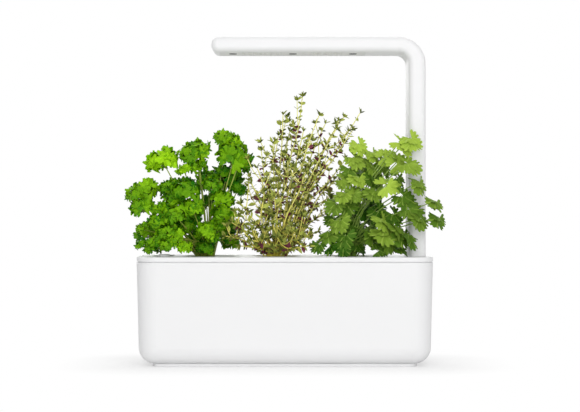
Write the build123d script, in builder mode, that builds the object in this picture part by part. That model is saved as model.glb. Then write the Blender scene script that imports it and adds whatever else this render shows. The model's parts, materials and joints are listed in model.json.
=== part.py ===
from build123d import *
import os
from math import cos, pi, radians, sin, tan

os.makedirs("parts", exist_ok=True)

# Sizes in millimetres. X runs along the front towards the arm, Y to the back, Z up from the table.

# Foot plate under the tank
FOOT_PLATE_THICK = 3.2
FOOT_PLATE_INSET = 16.0
FOOT_PLATE_CORNER = 9.0
FOOT_PLATE_EDGE = 0.6
FOOT_PAD_RADIUS = 7.0
FOOT_PAD_THICK = 1.2
FOOT_PAD_MARGIN = 16.0
FOOT_PAD_FIT = 0.1
FOOT_SCREW_SPACING_X = 176.0
FOOT_SCREW_SPACING_Y = 66.0
FOOT_SCREW_HEAD_RADIUS = 2.8
FOOT_SCREW_HEAD_THICK = 1.2
FOOT_SCREW_SUNK = 0.4
FOOT_SCREW_RADIUS = 1.4
FOOT_SCREW_BORE = 5.4
FOOT_SCREW_TIP_GAP = 1.2
FOOT_SCREW_FIT = 0.15
FOOT_BOSS_WALL = 2.4

# Water tank
TANK_DEPTH = 125.0
TANK_HEIGHT = 102.4
TANK_CORNER = 21.0
TANK_FOOT_ROUND = 16.5
TANK_DRAFT = 1.4
TANK_WALL = 2.4
TANK_RIM_ROUND = 0.4

# Lid
LID_BAND = 4.5
LID_PLATE = 2.8
LID_EDGE_ROUND = 1.0
LID_SEAM_GAP = 0.9
LID_SEAM_DEPTH = 1.8
LID_SKIRT = 6.0
LID_SKIRT_WALL = 1.6
LID_FIT = 0.35
LID_COLLAR_DEPTH = 8.0
LID_COLLAR_WALL = 1.6
LID_ARM_FIT = 0.5

# Plant cups and their wicks
CUP_TOP_RADIUS = 27.0
CUP_FOOT_RADIUS = 22.5
CUP_DEPTH = 62.0
CUP_WALL = 1.5
CUP_LIP = 3.5
CUP_LIP_THICK = 1.4
CUP_FIT = 0.4
CUP_GAP = 8.0
CUP_SLOTS = 6
CUP_SLOT_WIDTH = 5.0
CUP_SLOT_HEIGHT = 24.0
CUP_SLOT_FLOOR_GAP = 7.0
WICK_RADIUS = 3.5
WICK_FIT = 0.2
WICK_FLOOR_GAP = 2.0

# Pods
POD_HEIGHT = 57.0
POD_WALL = 0.9
POD_FIT = 0.4
POD_SOIL_DROP = 3.0
POD_COVER_THICK = 0.5
POD_COVER_FIT = 0.2
POD_COVER_HOLE = 12.0
POD_FOOT_HOLE = 6.0

# Float with its guide well and the pouring slot beside it
FLOAT_CAP_RADIUS = 6.0
FLOAT_CAP_THICK = 6.0
FLOAT_CAP_PROUD = 2.4
FLOAT_CAP_ROUND = 1.2
FLOAT_CAP_FIT = 0.6
FLOAT_STEM_RADIUS = 2.0
FLOAT_STEM_FIT = 0.35
FLOAT_TRAVEL = 30.0
FLOAT_STOP_GAP = 0.4
FLOAT_WELL_WALL = 1.6
FLOAT_FOAM_RADIUS = 9.5
FLOAT_FOAM_HEIGHT = 18.0
FLOAT_INSET = 27.0
FLOAT_FORWARD = 25.0
FLOAT_CUP_GAP = 6.3
POUR_WIDTH = 15.0
POUR_LENGTH = 52.0
POUR_GAP = 6.0

# Arm section, shared by the tower's head, both extensions and the lamp
ARM_THICK = 17.5
ARM_WIDTH = 60.0
ARM_ROUND = 5.6
ARM_WALL = 2.4
ARM_END_BREAK = 0.25
ARM_INSET = 6.2
ARM_CUP_GAP = 35.8
EXTENSION_LENGTH = 62.0
SPIGOT_LENGTH = 20.0
SPIGOT_FIT = 0.2
SPIGOT_WALL = 1.8
SOCKET_DEPTH = 22.0
PARTITION_THICK = 2.0

# Contacts that carry the power from piece to piece
PLUG_LENGTH = 24.0
PLUG_HEIGHT = 6.0
PLUG_FIT = 0.1
PIN_RADIUS = 1.0
PIN_SPACING = 10.0
PIN_REACH = 6.0
PIN_FIT = 0.3
CONTACT_DEPTH = 10.0
CONTACT_LIP = 1.2
CONTACT_LIP_THICK = 1.6
CABLE_WIDTH = 4.2
CABLE_THICK = 1.8
CABLE_BEND = 11.0

# Power inlet at the back, in a dry bay below the tower
INLET_RADIUS = 5.0
INLET_LENGTH = 13.0
INLET_FLANGE_RADIUS = 7.5
INLET_FLANGE_THICK = 1.6
INLET_BORE_RADIUS = 2.9
INLET_BORE_DEPTH = 9.5
INLET_PIN_RADIUS = 1.0
INLET_PIN_LENGTH = 8.0
INLET_FIT = 0.2
INLET_RISE = 1.5
INLET_SUNK = 0.3
BAY_ROOM = 4.0
BAY_FRONT = 16.0
BAY_FLOOR_MARGIN = 3.0
TOWER_LID_GAP = 1.5

# Lamp
LAMP_RISE = 100.4
BAR_THICK = 15.9
BAR_END_ROUND = 7.4
BEND_OUTER = 28.0
BEND_INNER = 10.5
LAMP_SCREWS = 3
LAMP_SCREW_PITCH = 62.0
LAMP_SCREW_MARGIN = 13.0
LAMP_SCREW_WELL_LENGTH = 15.0
LAMP_SCREW_WELL_WIDTH = 7.8
LAMP_SCREW_WELL_DEPTH = 1.8
LAMP_SCREW_HEAD_RADIUS = 3.2
LAMP_SCREW_HEAD_THICK = 0.9
LAMP_SCREW_RADIUS = 1.4
LAMP_SCREW_BITE = 7.0
LAMP_SCREW_FIT = 0.15
LAMP_SCREW_PLUG_THICK = 0.8
LAMP_SCREW_PLUG_FIT = 0.1
LAMP_BOSS_RADIUS = 4.0
COVER_END_MARGIN = 8.4
COVER_SIDE_MARGIN = 0.65
COVER_THICK = 2.8
COVER_SUNK = 0.2
COVER_FIT = 0.2
COVER_CORNER = 6.0
LED_COLUMNS = 8
LED_COLUMN_PITCH = 5.3
LED_ROW_PITCH = 12.0
LED_RED_EVERY = 4
LED_SIZE = 2.4
LED_HEIGHT = 1.6
LED_WELL_RADIUS = 1.9
BOARD_THICK = 1.6
BOARD_MARGIN = 3.0
TIMER_ROOM = 32.5
TIMER_LENGTH = 22.0
TIMER_WIDTH = 26.0
TIMER_THICK = 1.4
TIMER_POST_RADIUS = 2.5
TIMER_POST_HEIGHT = 2.0
TIMER_POST_SPACING = 14.0
TERMINAL_LENGTH = 4.5
TERMINAL_WIDTH = 20.0
TERMINAL_HEIGHT = 5.5

# Herbs. Each row gives a leaf's place from the pod's axis and above the lid, and its radius.
CROWN_RADIUS = 8.0
CROWN_HEIGHT = 4.0
CROWN_SIDES = 8
STEM_SIDES = 4
ROOT_SPREAD = 0.07
KNEE_RISE = 0.6
KNEE_LEAST_RISE = 16.0
LEAF_THICK = 0.8
PARSLEY_STEM_RADIUS = 1.1
PARSLEY_KNEE_REACH = 0.22
PARSLEY_LEAN = 0.5
PARSLEY_LEAFLETS = 4
PARSLEY_LOBES = 5
PARSLEY_DENT = 0.25
PARSLEY_LEAFLET_SHARE = 0.8
PARSLEY_RING_REACH = 0.8
PARSLEY_RING_DROP = 0.25
PARSLEY_DROOP = 0.8
PARSLEY_HEADS = (
    (-50, -8, 96, 16),
    (-16, -18, 106, 15),
    (26, -10, 112, 19),
    (-68, -12, 62, 16),
    (-26, -34, 70, 17),
    (16, -30, 76, 14),
    (-42, -40, 42, 14),
    (8, -40, 46, 13),
    (-62, -28, 24, 14),
    (-36, -44, 15, 13),
    (-8, -44, 20, 13),
    (20, -26, 22, 12),
    (-66, 16, 36, 14),
    (-38, 24, 82, 15),
    (0, 30, 90, 16),
    (-34, 42, 42, 14),
    (8, 42, 50, 14),
    (-14, 46, 16, 12),
    (20, 22, 28, 12),
    (-50, 36, 16, 12),
)
THYME_STEM_RADIUS = 0.8
THYME_BOW = 0.12
THYME_LEAF_LENGTH = 8.0
THYME_LEAF_WIDTH = 4.2
THYME_LEAF_PITCH = 13.0
THYME_BARE_STEM = 24.0
THYME_TIPS = (
    (27, -6, 164),
    (82, -14, 150),
    (58, 4, 140),
    (40, -26, 142),
    (6, 6, 146),
    (-8, -14, 120),
    (26, 22, 132),
    (42, -34, 102),
    (12, -36, 104),
    (-18, -30, 78),
    (-20, 12, 92),
    (30, -46, 62),
    (2, -48, 56),
    (34, 32, 84),
    (4, 38, 94),
    (-20, 36, 48),
    (20, 48, 46),
    (-22, -42, 30),
)
CILANTRO_STEM_RADIUS = 0.9
CILANTRO_KNEE_REACH = 0.3
CILANTRO_LEAN = 0.8
CILANTRO_LOBES = 3
CILANTRO_TEETH = 5
CILANTRO_TOOTH = 0.16
CILANTRO_CLEFT = 0.34
CILANTRO_LEAVES = (
    (62, -46, 114, 16),
    (24, -36, 108, 13),
    (40, -28, 102, 14),
    (68, -52, 88, 14),
    (10, -28, 90, 14),
    (74, -44, 70, 15),
    (44, -40, 74, 14),
    (20, -46, 70, 13),
    (-4, -34, 64, 12),
    (94, -46, 52, 14),
    (62, -48, 46, 15),
    (28, -50, 42, 13),
    (92, -50, 26, 14),
    (48, -46, 20, 15),
    (-10, -46, 38, 12),
    (-20, -34, 20, 12),
    (6, -46, 14, 13),
    (38, 8, 106, 14),
    (10, 22, 98, 13),
    (44, 38, 80, 14),
    (18, 42, 64, 14),
    (-10, 30, 58, 12),
    (46, 46, 42, 14),
    (16, 48, 28, 13),
    (-14, 42, 26, 12),
    (44, 44, 14, 12),
)

# Levels above the table
TANK_Z = FOOT_PLATE_THICK
FLOOR_Z = TANK_Z + TANK_WALL
RIM_Z = TANK_Z + TANK_HEIGHT
LID_BAND_Z = RIM_Z + LID_SEAM_GAP
LID_TOP = LID_BAND_Z + LID_BAND
CUP_FOOT_Z = LID_TOP - CUP_DEPTH
POD_FOOT_Z = CUP_FOOT_Z + CUP_WALL
SOIL_FOOT_Z = POD_FOOT_Z + POD_WALL
POD_TOP_Z = POD_FOOT_Z + POD_HEIGHT
SOIL_TOP_Z = POD_TOP_Z - POD_SOIL_DROP
LOWER_JOINT_Z = LID_TOP
UPPER_JOINT_Z = LOWER_JOINT_Z + EXTENSION_LENGTH
LAMP_JOINT_Z = UPPER_JOINT_Z + EXTENSION_LENGTH
LAMP_TOP = LAMP_JOINT_Z + LAMP_RISE
BAR_BOTTOM = LAMP_TOP - BAR_THICK

# Places along the front: float, three cups, arm
CUP_LIP_RADIUS = CUP_TOP_RADIUS + CUP_LIP
CUP_PITCH = 2 * CUP_LIP_RADIUS + CUP_GAP
FLOAT_WELL_RADIUS = FLOAT_CAP_RADIUS + FLOAT_CAP_FIT
FLOAT_WELL_OUTSIDE = FLOAT_WELL_RADIUS + FLOAT_WELL_WALL
FLOAT_ROOM = FLOAT_INSET + FLOAT_WELL_OUTSIDE + FLOAT_CUP_GAP
TANK_LENGTH = FLOAT_ROOM + 2 * (CUP_PITCH + CUP_LIP_RADIUS) + ARM_CUP_GAP + ARM_THICK + ARM_INSET
TANK_END = TANK_LENGTH / 2
TANK_BACK = TANK_DEPTH / 2
FLOAT_X = FLOAT_INSET - TANK_END
LEFT_CUP_X = FLOAT_ROOM + CUP_LIP_RADIUS - TANK_END
CUP_X = {"left": LEFT_CUP_X, "middle": LEFT_CUP_X + CUP_PITCH, "right": LEFT_CUP_X + 2 * CUP_PITCH}
ARM_X = TANK_END - ARM_INSET - ARM_THICK / 2
ARM_INNER = ARM_X - ARM_THICK / 2
ARM_OUTER = ARM_X + ARM_THICK / 2
BEND_X = ARM_INNER - BEND_INNER
COVER_LENGTH = (LAMP_SCREWS - 1) * LAMP_SCREW_PITCH + 2 * LAMP_SCREW_MARGIN
BAR_LENGTH = COVER_END_MARGIN + COVER_LENGTH + TIMER_ROOM
BAR_END = BEND_X - BAR_LENGTH
COVER_X = BAR_END + COVER_END_MARGIN + COVER_LENGTH / 2
COVER_WIDTH = ARM_WIDTH - 2 * (ARM_ROUND + COVER_SIDE_MARGIN)


def save(part, name):
    part.label = name
    export_step(part, f"parts/{name}.step")


def draft_loss(level):
    """How far the tank's side has drawn in below the rim."""
    return (RIM_Z - level) * tan(radians(TANK_DRAFT))


def tank_form(wall):
    """Tapered tank with a rounded foot, drawn in by the wall."""
    foot_corner = TANK_CORNER - draft_loss(TANK_Z)
    with BuildPart() as form:
        with BuildSketch(Plane.XY.offset(RIM_Z)):
            RectangleRounded(TANK_LENGTH - 2 * wall, TANK_DEPTH - 2 * wall, TANK_CORNER - wall)
        extrude(amount=wall - TANK_HEIGHT, taper=TANK_DRAFT)
        foot_round = min(TANK_FOOT_ROUND, foot_corner - TANK_WALL / 2)
        fillet(form.faces().sort_by(Axis.Z)[0].edges(), foot_round - wall)
    return form.part


def arm_section(inset):
    """Section of the arm, flat with rounded sides, drawn in by the inset."""
    return RectangleRounded(ARM_THICK - 2 * inset, ARM_WIDTH - 2 * inset, ARM_ROUND - inset)


SPIGOT_INSET = ARM_WALL + SPIGOT_FIT
SPIGOT_BORE_INSET = SPIGOT_INSET + SPIGOT_WALL
PLUG_WIDTH = ARM_THICK - 2 * (SPIGOT_BORE_INSET + PLUG_FIT)

# Foot plate with pockets for its grip pads and counterbores for its screws
PLATE_LENGTH = TANK_LENGTH - 2 * FOOT_PLATE_INSET
PLATE_DEPTH = TANK_DEPTH - 2 * FOOT_PLATE_INSET
PAD_SPACING_X = PLATE_LENGTH - 2 * FOOT_PAD_MARGIN
PAD_SPACING_Y = PLATE_DEPTH - 2 * FOOT_PAD_MARGIN

with BuildPart() as foot_plate:
    with BuildSketch():
        RectangleRounded(PLATE_LENGTH, PLATE_DEPTH, FOOT_PLATE_CORNER)
    extrude(amount=FOOT_PLATE_THICK)
    fillet(foot_plate.faces().sort_by(Axis.Z)[0].edges(), FOOT_PLATE_EDGE)
    with BuildSketch():
        with GridLocations(PAD_SPACING_X, PAD_SPACING_Y, 2, 2):
            Circle(FOOT_PAD_RADIUS + FOOT_PAD_FIT)
    extrude(amount=FOOT_PAD_THICK, mode=Mode.SUBTRACT)
    with BuildSketch():
        with GridLocations(FOOT_SCREW_SPACING_X, FOOT_SCREW_SPACING_Y, 2, 2):
            Circle(FOOT_SCREW_HEAD_RADIUS + FOOT_SCREW_FIT)
    extrude(amount=FOOT_SCREW_SUNK + FOOT_SCREW_HEAD_THICK, mode=Mode.SUBTRACT)
    with BuildSketch():
        with GridLocations(FOOT_SCREW_SPACING_X, FOOT_SCREW_SPACING_Y, 2, 2):
            Circle(FOOT_SCREW_RADIUS + FOOT_SCREW_FIT)
    extrude(amount=FOOT_PLATE_THICK, mode=Mode.SUBTRACT)
save(foot_plate.part, "foot_plate")

with BuildPart() as foot_pads:
    with BuildSketch():
        with GridLocations(PAD_SPACING_X, PAD_SPACING_Y, 2, 2):
            Circle(FOOT_PAD_RADIUS)
    extrude(amount=FOOT_PAD_THICK)
save(foot_pads.part, "foot_pads")

with BuildPart() as foot_screws:
    with BuildSketch(Plane.XY.offset(FOOT_SCREW_SUNK)):
        with GridLocations(FOOT_SCREW_SPACING_X, FOOT_SCREW_SPACING_Y, 2, 2):
            Circle(FOOT_SCREW_HEAD_RADIUS)
    extrude(amount=FOOT_SCREW_HEAD_THICK)
    with BuildSketch(Plane.XY.offset(FOOT_SCREW_SUNK)):
        with GridLocations(FOOT_SCREW_SPACING_X, FOOT_SCREW_SPACING_Y, 2, 2):
            Circle(FOOT_SCREW_RADIUS)
    extrude(amount=TANK_Z + FOOT_SCREW_BORE - FOOT_SCREW_TIP_GAP - FOOT_SCREW_SUNK)
save(foot_screws.part, "foot_screws")

# Water tank: drafted shell, screw bosses, and a dry tower with the arm's socket and the inlet's bay
INLET_X = TANK_END - TANK_CORNER - INLET_FLANGE_RADIUS
INLET_Z = TANK_Z + TANK_FOOT_ROUND + INLET_RADIUS + INLET_RISE
INLET_MOUTH_Y = TANK_BACK - draft_loss(INLET_Z - INLET_RADIUS) - INLET_SUNK
INLET_REAR_Y = INLET_MOUTH_Y - INLET_LENGTH
BAY_LEFT = INLET_X - INLET_FLANGE_RADIUS - BAY_ROOM
BAY_TOP = INLET_Z + INLET_FLANGE_RADIUS + BAY_ROOM
TOWER_LEFT = ARM_X - ARM_THICK / 2
TOWER_TOP = RIM_Z - LID_SKIRT - TOWER_LID_GAP
SOCKET_FLOOR_Z = LOWER_JOINT_Z - SOCKET_DEPTH
BOSS_TOP = TANK_Z + FOOT_SCREW_BORE + FOOT_BOSS_WALL
FLAT_FLOOR_X = TANK_END - draft_loss(TANK_Z) - TANK_FOOT_ROUND - BAY_FLOOR_MARGIN
FLAT_FLOOR_Y = TANK_BACK - draft_loss(TANK_Z) - TANK_FOOT_ROUND - BAY_FLOOR_MARGIN

tank_outside = tank_form(0)
tank_inside = tank_form(TANK_WALL)

with BuildPart() as tower:
    with BuildSketch(Plane.XY.offset(TANK_Z)):
        with Locations(((TOWER_LEFT + TANK_END) / 2, 0)):
            Rectangle(TANK_END - TOWER_LEFT, ARM_WIDTH)
    extrude(amount=TOWER_TOP - TANK_Z)
    fillet(tower.edges().filter_by(Axis.Z).group_by(Axis.X)[0], ARM_ROUND)
    with BuildSketch(Plane.XY.offset(TANK_Z)):
        with Locations(((BAY_LEFT + TANK_END) / 2, (TANK_BACK - BAY_FRONT) / 2)):
            Rectangle(TANK_END - BAY_LEFT, TANK_BACK + BAY_FRONT)
    extrude(amount=BAY_TOP - TANK_Z)
    add(tank_outside, mode=Mode.INTERSECT)

with BuildPart() as dry_room:
    with BuildSketch(Plane((ARM_X, 0, TANK_Z))):
        arm_section(ARM_WALL)
    extrude(amount=SOCKET_FLOOR_Z - PARTITION_THICK - TANK_Z)
    with BuildSketch(Plane.XY.offset(TANK_Z)):
        with Locations(((BAY_LEFT + TANK_END) / 2, (TANK_BACK - BAY_FRONT) / 2)):
            Rectangle(TANK_END - BAY_LEFT - 2 * TANK_WALL, TANK_BACK + BAY_FRONT - 2 * TANK_WALL)
    extrude(amount=BAY_TOP - TANK_WALL - TANK_Z)
    add(tank_inside, mode=Mode.INTERSECT)

with BuildPart() as water_tank:
    add(tank_outside)
    fillet(water_tank.faces().sort_by(Axis.Z)[-1].edges(), TANK_RIM_ROUND)
    add(tank_inside, mode=Mode.SUBTRACT)
    add(tower.part)
    with BuildSketch(Plane((ARM_X, 0, TOWER_TOP))):
        arm_section(0)
    extrude(amount=LOWER_JOINT_Z - TOWER_TOP)
    chamfer(water_tank.faces().sort_by(Axis.Z)[-1].edges(), ARM_END_BREAK)
    with BuildSketch(Plane((ARM_X, 0, LOWER_JOINT_Z))):
        arm_section(ARM_WALL)
    extrude(amount=-SOCKET_DEPTH, mode=Mode.SUBTRACT)
    with BuildSketch(Plane((ARM_X, 0, SOCKET_FLOOR_Z))):
        Rectangle(PLUG_WIDTH + 2 * PLUG_FIT, PLUG_LENGTH + 2 * PLUG_FIT)
    extrude(amount=-PARTITION_THICK, mode=Mode.SUBTRACT)
    add(dry_room.part, mode=Mode.SUBTRACT)
    with BuildSketch(Plane.XY.offset(TANK_Z)):
        with Locations(((BAY_LEFT + TANK_WALL + FLAT_FLOOR_X) / 2, FLAT_FLOOR_Y / 2)):
            Rectangle(FLAT_FLOOR_X - BAY_LEFT - TANK_WALL, FLAT_FLOOR_Y)
    extrude(amount=TANK_WALL, mode=Mode.SUBTRACT)
    with BuildSketch(Plane((INLET_X, TANK_BACK, INLET_Z), x_dir=(1, 0, 0), z_dir=(0, -1, 0))):
        Circle(INLET_RADIUS + INLET_FIT)
    extrude(amount=INLET_LENGTH, mode=Mode.SUBTRACT)
    with BuildSketch(Plane.XY.offset(TANK_Z)):
        with GridLocations(FOOT_SCREW_SPACING_X, FOOT_SCREW_SPACING_Y, 2, 2):
            Circle(FOOT_SCREW_RADIUS + FOOT_SCREW_FIT + FOOT_BOSS_WALL)
    extrude(amount=BOSS_TOP - TANK_Z)
    with BuildSketch(Plane.XY.offset(TANK_Z)):
        with GridLocations(FOOT_SCREW_SPACING_X, FOOT_SCREW_SPACING_Y, 2, 2):
            Circle(FOOT_SCREW_RADIUS + FOOT_SCREW_FIT)
    extrude(amount=FOOT_SCREW_BORE, mode=Mode.SUBTRACT)
save(water_tank.part, "water_tank")

# Power inlet: a barrel with a flange behind the wall, and the pin in its bore
INLET_MOUTH = Plane((INLET_X, INLET_MOUTH_Y, INLET_Z), x_dir=(1, 0, 0), z_dir=(0, -1, 0))
INLET_FLANGE_SINK = TANK_WALL + INLET_SUNK + 2 * INLET_FLANGE_RADIUS * tan(radians(TANK_DRAFT))

with BuildPart() as power_inlet:
    with BuildSketch(INLET_MOUTH):
        Circle(INLET_RADIUS)
    extrude(amount=INLET_LENGTH)
    with BuildSketch(INLET_MOUTH.offset(INLET_FLANGE_SINK)):
        Circle(INLET_FLANGE_RADIUS)
    extrude(amount=INLET_FLANGE_THICK)
    with BuildSketch(INLET_MOUTH):
        Circle(INLET_BORE_RADIUS)
    extrude(amount=INLET_BORE_DEPTH, mode=Mode.SUBTRACT)
save(power_inlet.part, "power_inlet")

with BuildPart() as inlet_pin:
    with BuildSketch(INLET_MOUTH.offset(INLET_BORE_DEPTH)):
        Circle(INLET_PIN_RADIUS)
    extrude(amount=-INLET_PIN_LENGTH)
save(inlet_pin.part, "inlet_pin")


def contact_block(top_z):
    """Block with two pin holes, hung from the partition below a socket."""
    with BuildPart() as block:
        with BuildSketch(Plane((ARM_X, 0, top_z))):
            Rectangle(PLUG_WIDTH, PLUG_LENGTH)
        extrude(amount=-CONTACT_DEPTH)
        with BuildSketch(Plane((ARM_X, 0, top_z - PARTITION_THICK))):
            Rectangle(PLUG_WIDTH + 2 * CONTACT_LIP, PLUG_LENGTH + 2 * CONTACT_LIP)
        extrude(amount=-CONTACT_LIP_THICK)
        with BuildSketch(Plane((ARM_X, 0, top_z))):
            with GridLocations(0, PIN_SPACING, 1, 2):
                Circle(PIN_RADIUS + PIN_FIT)
        extrude(amount=-PIN_REACH, mode=Mode.SUBTRACT)
    return block.part


def plug_block(joint_z):
    """Block that closes the end of a spigot, bored for its two pins."""
    with BuildPart() as block:
        with BuildSketch(Plane((ARM_X, 0, joint_z - SPIGOT_LENGTH))):
            Rectangle(PLUG_WIDTH, PLUG_LENGTH)
            with GridLocations(0, PIN_SPACING, 1, 2):
                Circle(PIN_RADIUS, mode=Mode.SUBTRACT)
        extrude(amount=PLUG_HEIGHT)
    return block.part


def plug_pins(joint_z):
    """Two pins that stand down from a plug into the contact block below."""
    with BuildPart() as pins:
        with BuildSketch(Plane((ARM_X, 0, joint_z - SPIGOT_LENGTH - PIN_REACH))):
            with GridLocations(0, PIN_SPACING, 1, 2):
                Circle(PIN_RADIUS)
        extrude(amount=PIN_REACH + PLUG_HEIGHT)
    return pins.part


save(contact_block(SOCKET_FLOOR_Z), "tower_contact")

# Flat twin cable from the tower's contact block down to the inlet
INLET_RUN = Vector(INLET_X - ARM_X, INLET_REAR_Y - CABLE_WIDTH / 2, 0)
CABLE_PLANE = Plane((ARM_X, 0, 0), x_dir=INLET_RUN, z_dir=INLET_RUN.cross(Vector(0, 0, 1)))
TOWER_CABLE_TOP = SOCKET_FLOOR_Z - CONTACT_DEPTH

with BuildPart() as tower_cable:
    with BuildLine(CABLE_PLANE):
        FilletPolyline(
            (0, TOWER_CABLE_TOP), (0, INLET_Z), (INLET_RUN.length, INLET_Z), radius=CABLE_BEND
        )
    with BuildSketch(Plane((ARM_X, 0, TOWER_CABLE_TOP), x_dir=INLET_RUN, z_dir=(0, 0, -1))):
        Rectangle(CABLE_THICK, CABLE_WIDTH)
    sweep()
save(tower_cable.part, "tower_cable")

# Lid: plate with a seam band outside and a skirt inside the tank, collars, float well and pouring slot
SKIRT_INSET = TANK_WALL + LID_FIT + draft_loss(RIM_Z - LID_SKIRT)
SKIRT_BORE_INSET = SKIRT_INSET + LID_SKIRT_WALL
LID_UNDERSIDE = LID_TOP - LID_PLATE
FLOAT_WELL_DEPTH = FLOAT_TRAVEL + FLOAT_CAP_THICK - FLOAT_CAP_PROUD + FLOAT_STOP_GAP
FLOAT_WELL_Z = LID_TOP - FLOAT_WELL_DEPTH - FLOAT_WELL_WALL
POUR_Y = FLOAT_WELL_OUTSIDE + POUR_GAP + POUR_LENGTH / 2 - FLOAT_FORWARD


def lid_outline(inset):
    """Rounded outline of the tank's rim, drawn in by the inset."""
    return RectangleRounded(TANK_LENGTH - 2 * inset, TANK_DEPTH - 2 * inset, TANK_CORNER - inset)


with BuildPart() as tank_lid:
    with BuildSketch(Plane.XY.offset(LID_BAND_Z)):
        lid_outline(0)
    extrude(amount=LID_BAND)
    fillet(tank_lid.faces().sort_by(Axis.Z)[-1].edges(), LID_EDGE_ROUND)
    with BuildSketch(Plane.XY.offset(RIM_Z)):
        lid_outline(LID_SEAM_DEPTH)
    extrude(amount=LID_SEAM_GAP)
    with BuildSketch(Plane.XY.offset(RIM_Z)):
        lid_outline(SKIRT_INSET)
    extrude(amount=-LID_SKIRT)
    with BuildSketch(Plane.XY.offset(RIM_Z - LID_SKIRT)):
        lid_outline(SKIRT_BORE_INSET)
    extrude(amount=LID_UNDERSIDE - RIM_Z + LID_SKIRT, mode=Mode.SUBTRACT)
    with BuildSketch(Plane.XY.offset(LID_UNDERSIDE)):
        with Locations(*[(x, 0) for x in CUP_X.values()]):
            Circle(CUP_TOP_RADIUS + CUP_FIT + LID_COLLAR_WALL)
    extrude(amount=-LID_COLLAR_DEPTH)
    with BuildSketch(Plane.XY.offset(LID_UNDERSIDE)):
        with Locations((FLOAT_X, -FLOAT_FORWARD)):
            Circle(FLOAT_WELL_OUTSIDE)
    extrude(amount=FLOAT_WELL_Z - LID_UNDERSIDE)
    with Locations(*[(x, 0, LID_TOP) for x in CUP_X.values()]):
        CounterBoreHole(
            CUP_TOP_RADIUS + CUP_FIT, CUP_LIP_RADIUS + CUP_FIT, CUP_LIP_THICK, LID_PLATE + LID_COLLAR_DEPTH
        )
    with Locations((FLOAT_X, -FLOAT_FORWARD, LID_TOP)):
        CounterBoreHole(
            FLOAT_STEM_RADIUS + FLOAT_STEM_FIT, FLOAT_WELL_RADIUS, FLOAT_WELL_DEPTH, LID_TOP - FLOAT_WELL_Z
        )
    with BuildSketch(Plane.XY.offset(LID_TOP)):
        with Locations((FLOAT_X, POUR_Y)):
            SlotOverall(POUR_LENGTH, POUR_WIDTH, rotation=90)
        with Locations((ARM_X, 0)):
            arm_section(-LID_ARM_FIT)
    extrude(amount=-LID_PLATE, mode=Mode.SUBTRACT)
save(tank_lid.part, "tank_lid")

# Float: a cap that stands out of the lid, its stem, and the foam below the well
FOAM_TOP = FLOAT_WELL_Z - FLOAT_STOP_GAP
CAP_FOOT_Z = LID_TOP + FLOAT_CAP_PROUD - FLOAT_CAP_THICK
FLOAT_AXIS = Plane((FLOAT_X, -FLOAT_FORWARD, 0))

with BuildPart() as float_indicator:
    with BuildSketch(FLOAT_AXIS.offset(CAP_FOOT_Z)):
        Circle(FLOAT_CAP_RADIUS)
    extrude(amount=FLOAT_CAP_THICK)
    fillet(float_indicator.faces().sort_by(Axis.Z)[-1].edges(), FLOAT_CAP_ROUND)
    with BuildSketch(FLOAT_AXIS.offset(CAP_FOOT_Z)):
        Circle(FLOAT_STEM_RADIUS)
    extrude(amount=FOAM_TOP - FLOAT_FOAM_HEIGHT - CAP_FOOT_Z)
save(float_indicator.part, "float_indicator")

with BuildPart() as float_foam:
    with BuildSketch(FLOAT_AXIS.offset(FOAM_TOP)):
        Circle(FLOAT_FOAM_RADIUS)
        Circle(FLOAT_STEM_RADIUS, mode=Mode.SUBTRACT)
    extrude(amount=-FLOAT_FOAM_HEIGHT)
save(float_foam.part, "float_foam")

# Cups, wicks, pods and their soil, the same for each of the three places
CUP_SLOPE = (CUP_TOP_RADIUS - CUP_FOOT_RADIUS) / (CUP_DEPTH - CUP_LIP_THICK)
CUP_BORE_FOOT = CUP_FOOT_RADIUS + CUP_WALL * CUP_SLOPE - CUP_WALL
CUP_BORE_TOP = CUP_TOP_RADIUS - CUP_WALL
CUP_SLOT_Z = CUP_FOOT_Z + CUP_SLOT_FLOOR_GAP + CUP_SLOT_HEIGHT / 2


def pod_radius(level):
    """Outer radius of a pod's shell at a level."""
    return CUP_BORE_FOOT - POD_FIT + (level - POD_FOOT_Z) * CUP_SLOPE


def cup(x):
    """Tapered cup that hangs in the lid by its lip, slotted for roots, with a hole for the wick."""
    with BuildPart() as made:
        with BuildSketch(Plane((x, 0, 0), x_dir=(1, 0, 0), z_dir=(0, -1, 0))):
            Polygon(
                (0, CUP_FOOT_Z),
                (CUP_FOOT_RADIUS, CUP_FOOT_Z),
                (CUP_TOP_RADIUS, LID_TOP - CUP_LIP_THICK),
                (CUP_LIP_RADIUS, LID_TOP - CUP_LIP_THICK),
                (CUP_LIP_RADIUS, LID_TOP),
                (CUP_BORE_TOP, LID_TOP),
                (CUP_BORE_FOOT, POD_FOOT_Z),
                (0, POD_FOOT_Z),
                align=None,
            )
        revolve(axis=Axis((x, 0, 0), (0, 0, 1)))
        for turn in range(CUP_SLOTS):
            angle = pi * (2 * turn + 1) / CUP_SLOTS
            side = Plane((x, 0, CUP_SLOT_Z), x_dir=(0, 0, 1), z_dir=(cos(angle), sin(angle), 0))
            with BuildSketch(side):
                SlotOverall(CUP_SLOT_HEIGHT, CUP_SLOT_WIDTH)
            extrude(amount=CUP_TOP_RADIUS, mode=Mode.SUBTRACT)
        with BuildSketch(Plane((x, 0, CUP_FOOT_Z))):
            Circle(WICK_RADIUS + WICK_FIT)
        extrude(amount=CUP_WALL, mode=Mode.SUBTRACT)
    return made.part


def wick(x):
    """Felt wick from near the tank's floor up to the soil in the pod."""
    with BuildPart() as made:
        with BuildSketch(Plane((x, 0, FLOOR_Z + WICK_FLOOR_GAP))):
            Circle(WICK_RADIUS)
        extrude(amount=SOIL_FOOT_Z - FLOOR_Z - WICK_FLOOR_GAP)
    return made.part


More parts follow.
